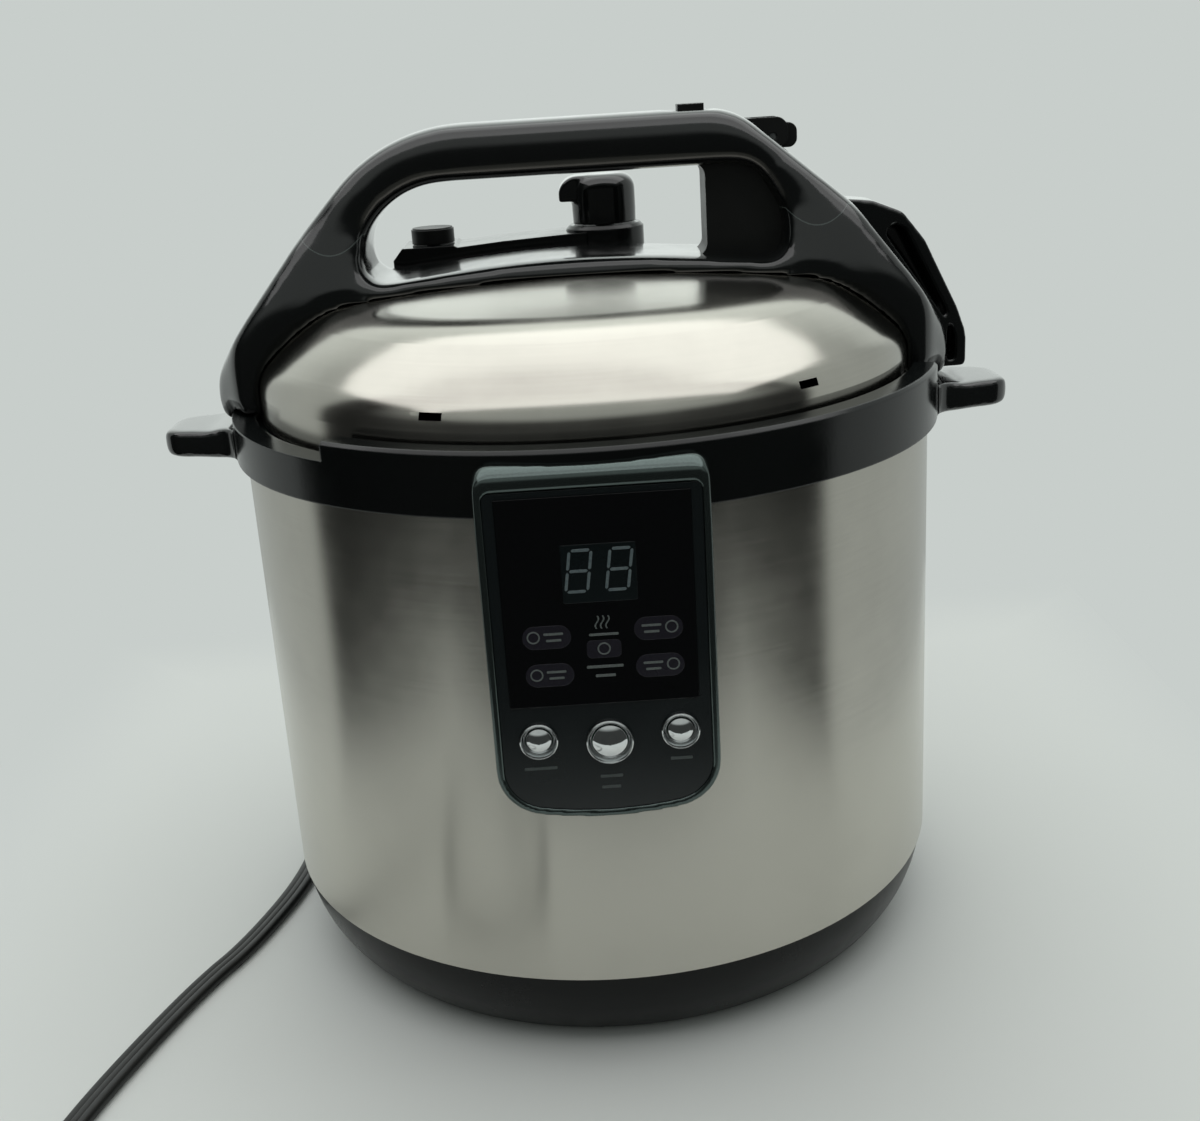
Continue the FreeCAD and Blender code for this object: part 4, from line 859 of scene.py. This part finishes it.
# Width, height, corner cut and its steps of a standing stroke and of a level one, and a figure's lean.
STANDING_STROKE = (1.0, 6.2, 0.46, 1)
LEVEL_STROKE = (6.0, 1.0, 0.46, 1)
FIGURE_LEAN = 0.14
# The figures' field: middle across and up, width, height, corner radius and its steps.
FIGURE_FIELD = (0.8, 191.4, 24.0, 19.6, 0.6, 3)


class COOKER_OT_display_figures(bpy.types.Operator):
    """Two leaning seven-stroke figures, unlit, on their own field"""

    bl_idname = "cooker.display_figures"
    bl_label = "Display figures"

    def execute(self, context):
        field = flat_mark(*FIGURE_FIELD)
        dim = speckled("display_face", linear("#0b1315"), linear("#101b1d"), 0.0, 0.2, 0.34, 0.0007, 0.02)
        settle(field, "display_field", dim, "base")
        parts = []
        for middle in FIGURES:
            for across, up, stands in STROKES:
                form = STANDING_STROKE if stands else LEVEL_STROKE
                parts.append(flat_mark(middle + STROKE_ACROSS * across, FIGURE_UP + STROKE_UP * up, *form))
        piece = joined(parts)
        for vertex in piece.data.vertices:
            vertex.co.x += FIGURE_LEAN * (vertex.co.z - FIGURE_UP * MM)
            vertex.co.y -= OVERPRINT
        pale = speckled("unlit_strokes", linear("#67757a"), linear("#7b888a"), 0.0, 0.35, 0.5, 0.0008, 0.03)
        settle(piece, "display_figures", pale, "base")
        return {"FINISHED"}


# The floor's middle, and its width as a share of its depth.
FLOOR_PLACE = (-0.02, 0, 0)
FLOOR_WIDTH = 0.9
# The floor's fade begins this far from the origin, metres, and ends at this share of half the floor.
FADE_START = 0.235
FADE_END = 0.9
# The camera's sensor, millimetres.
SENSOR_WIDTH = 36.0
# The ceiling lamp's place, width and depth in metres, and its power in watts.
LAMP_PLACE = (-0.05, -0.1, 1.5)
LAMP_WIDTH = 3.0
LAMP_DEPTH = 1.7
LAMP_POWER = 18.0


class COOKER_OT_stage(bpy.types.Operator):
    """Floor, soft light and camera"""

    bl_idname = "cooker.stage"
    bl_label = "Stage"

    def execute(self, context):
        scene = context.scene
        scene.view_settings.view_transform = "Standard"
        bpy.ops.object.select_all(action="DESELECT")
        bpy.ops.mesh.primitive_plane_add(size=2 * sizes().floor_half, location=FLOOR_PLACE)
        floor = context.object
        floor.scale = (FLOOR_WIDTH, 1.0, 1.0)
        bpy.ops.object.transform_apply(location=True, scale=True)
        floor.name = "floor"
        floor.data.materials.append(self.board())
        self.light(context)
        lens = bpy.data.cameras.new("view")
        lens.sensor_width = SENSOR_WIDTH
        lens.lens = sizes().lens
        camera = bpy.data.objects.new("view", lens)
        camera.location = sizes().camera_place
        facing = Vector(sizes().camera_aim).to_track_quat("-Z", "Y")
        camera.rotation_mode = "QUATERNION"
        camera.rotation_quaternion = facing @ Quaternion((0, 0, 1), sizes().camera_roll)
        scene.collection.objects.link(camera)
        scene.camera = camera
        return {"FINISHED"}

    def board(self):
        """Pale painted board that takes the cooker's shadow and fades into the backdrop at its rim."""
        material, tree = new_finish("painted_board")
        place = add_node(tree, "TexCoord").outputs["Object"]
        out = add_node(tree, "VectorMath", {"operation": "ABSOLUTE"}, {0: place})
        axes = add_node(tree, "SeparateXYZ", None, {"Vector": out.outputs["Vector"]})
        away = add_node(tree, "Math", {"operation": "MAXIMUM"}, {0: axes.outputs["X"], 1: axes.outputs["Y"]})
        fade = add_node(tree, "MapRange", {"interpolation_type": "SMOOTHSTEP"}, {
            "Value": away.outputs["Value"], "From Min": FADE_START,
            "From Max": FADE_END * sizes().floor_half})
        shader = add_node(tree, "BsdfPrincipled", None, {"Base Color": colours().floor, "Roughness": 0.6})
        glow = add_node(tree, "Emission", None, {"Color": colours().backdrop})
        path = add_node(tree, "LightPath")
        mirrored = add_node(tree, "Math", {"operation": "MAXIMUM"}, {
            0: path.outputs["Is Glossy Ray"], 1: path.outputs["Is Transmission Ray"]})
        seen = add_node(tree, "Math", {"operation": "MAXIMUM"}, {
            0: path.outputs["Is Camera Ray"], 1: mirrored.outputs["Value"]})
        share = add_node(tree, "Math", {"operation": "MULTIPLY"}, {
            0: fade.outputs["Result"], 1: seen.outputs["Value"]})
        mix = add_node(tree, "MixShader", None, {
            0: share.outputs["Value"], 1: shader.outputs["BSDF"], 2: glow.outputs["Emission"]})
        add_node(tree, "OutputMaterial", None, {"Surface": mix.outputs["Shader"]})
        return material

    def light(self, context):
        """Studio, pale behind and beside the cooker and dim low in front, with a wide ceiling lamp."""
        world = bpy.data.worlds.new("studio")
        context.scene.world = world
        world.use_nodes = True
        tree = world.node_tree
        tree.nodes.clear()
        way = add_node(tree, "TexCoord").outputs["Generated"]
        towards = add_node(tree, "VectorMath", {"operation": "DOT_PRODUCT"}, {0: way, 1: (0.18, 1.0, 0.0)})
        wall = add_node(tree, "MapRange", None, {
            "Value": towards.outputs["Value"], "From Min": -0.03, "From Max": 0.04,
            "To Min": 0.03, "To Max": 0.75})
        behind = add_node(tree, "VectorMath", {"operation": "DOT_PRODUCT"}, {0: way, 1: (0.0, 0.9, 0.45)})
        back = add_node(tree, "MapRange", None, {
            "Value": behind.outputs["Value"], "From Min": 0.7, "From Max": 0.95,
            "To Min": 0.0, "To Max": 1.1})
        ahead = add_node(tree, "VectorMath", {"operation": "DOT_PRODUCT"}, {0: way, 1: (0.0, -1.0, 0.0)})
        axes = add_node(tree, "SeparateXYZ", None, {"Vector": way})
        window = add_node(tree, "MapRange", None, {
            "Value": axes.outputs["Z"], "From Min": 0.26, "From Max": 0.44, "To Min": 0.04, "To Max": 0.65})
        front = add_node(tree, "MapRange", None, {
            "Value": ahead.outputs["Value"], "From Min": 0.1, "From Max": 0.6, "To Min": 0.0,
            "To Max": window.outputs["Result"]})
        ends = add_node(tree, "Math", {"operation": "ADD"}, {
            0: back.outputs["Result"], 1: front.outputs["Result"]})
        room = add_node(tree, "Math", {"operation": "ADD"}, {
            0: wall.outputs["Result"], 1: ends.outputs["Value"]})
        path = add_node(tree, "LightPath")
        seen = add_node(tree, "Mix", {"data_type": "FLOAT"}, {
            "Factor": path.outputs["Is Camera Ray"], "A": room.outputs["Value"], "B": 1.0})
        light = add_node(tree, "Background", None, {
            "Color": colours().backdrop, "Strength": seen.outputs["Result"]})
        add_node(tree, "OutputWorld", None, {"Surface": light.outputs["Background"]})
        lamp = bpy.data.lights.new("ceiling", "AREA")
        lamp.shape = "RECTANGLE"
        lamp.size = LAMP_WIDTH
        lamp.size_y = LAMP_DEPTH
        lamp.energy = LAMP_POWER
        ceiling = bpy.data.objects.new("ceiling", lamp)
        ceiling.location = LAMP_PLACE
        context.scene.collection.objects.link(ceiling)


class COOKER_PT_sidebar(bpy.types.Panel):
    """Lists the pieces, their sizes and their colours"""

    bl_idname = "COOKER_PT_sidebar"
    bl_label = "Pressure cooker"
    bl_space_type = "VIEW_3D"
    bl_region_type = "UI"
    bl_category = "Cooker"

    def draw(self, context):
        for operator in OPERATORS:
            self.layout.operator(operator.bl_idname)
        for group in (colours(), sizes()):
            for name in group.__annotations__:
                self.layout.prop(group, name)


OPERATORS = (
    COOKER_OT_stage,
    COOKER_OT_flat_cord,
    COOKER_OT_finishes,
    COOKER_OT_carrying_handle,
    COOKER_OT_soft_mouldings,
    COOKER_OT_lamp_fields,
    COOKER_OT_panel_marks,
    COOKER_OT_button_labels,
    COOKER_OT_display_figures,
)
CLASSES = (CookerColours, CookerSizes, *OPERATORS, COOKER_PT_sidebar)


def register():
    """Adds the classes and the scene's settings."""
    for item in CLASSES:
        bpy.utils.register_class(item)
    bpy.types.Scene.cooker_colours = bpy.props.PointerProperty(type=CookerColours)
    bpy.types.Scene.cooker_sizes = bpy.props.PointerProperty(type=CookerSizes)


def unregister():
    """Takes the scene's settings and the classes away again."""
    del bpy.types.Scene.cooker_sizes
    del bpy.types.Scene.cooker_colours
    for item in reversed(CLASSES):
        bpy.utils.unregister_class(item)


def main():
    """Builds the stage and the pieces."""
    register()
    bpy.ops.cooker.stage()
    bpy.ops.cooker.flat_cord()
    bpy.ops.cooker.finishes()
    bpy.ops.cooker.carrying_handle()
    bpy.ops.cooker.soft_mouldings()
    bpy.ops.cooker.lamp_fields()
    bpy.ops.cooker.panel_marks()
    bpy.ops.cooker.button_labels()
    bpy.ops.cooker.display_figures()


if __name__ == "__main__":
    main()
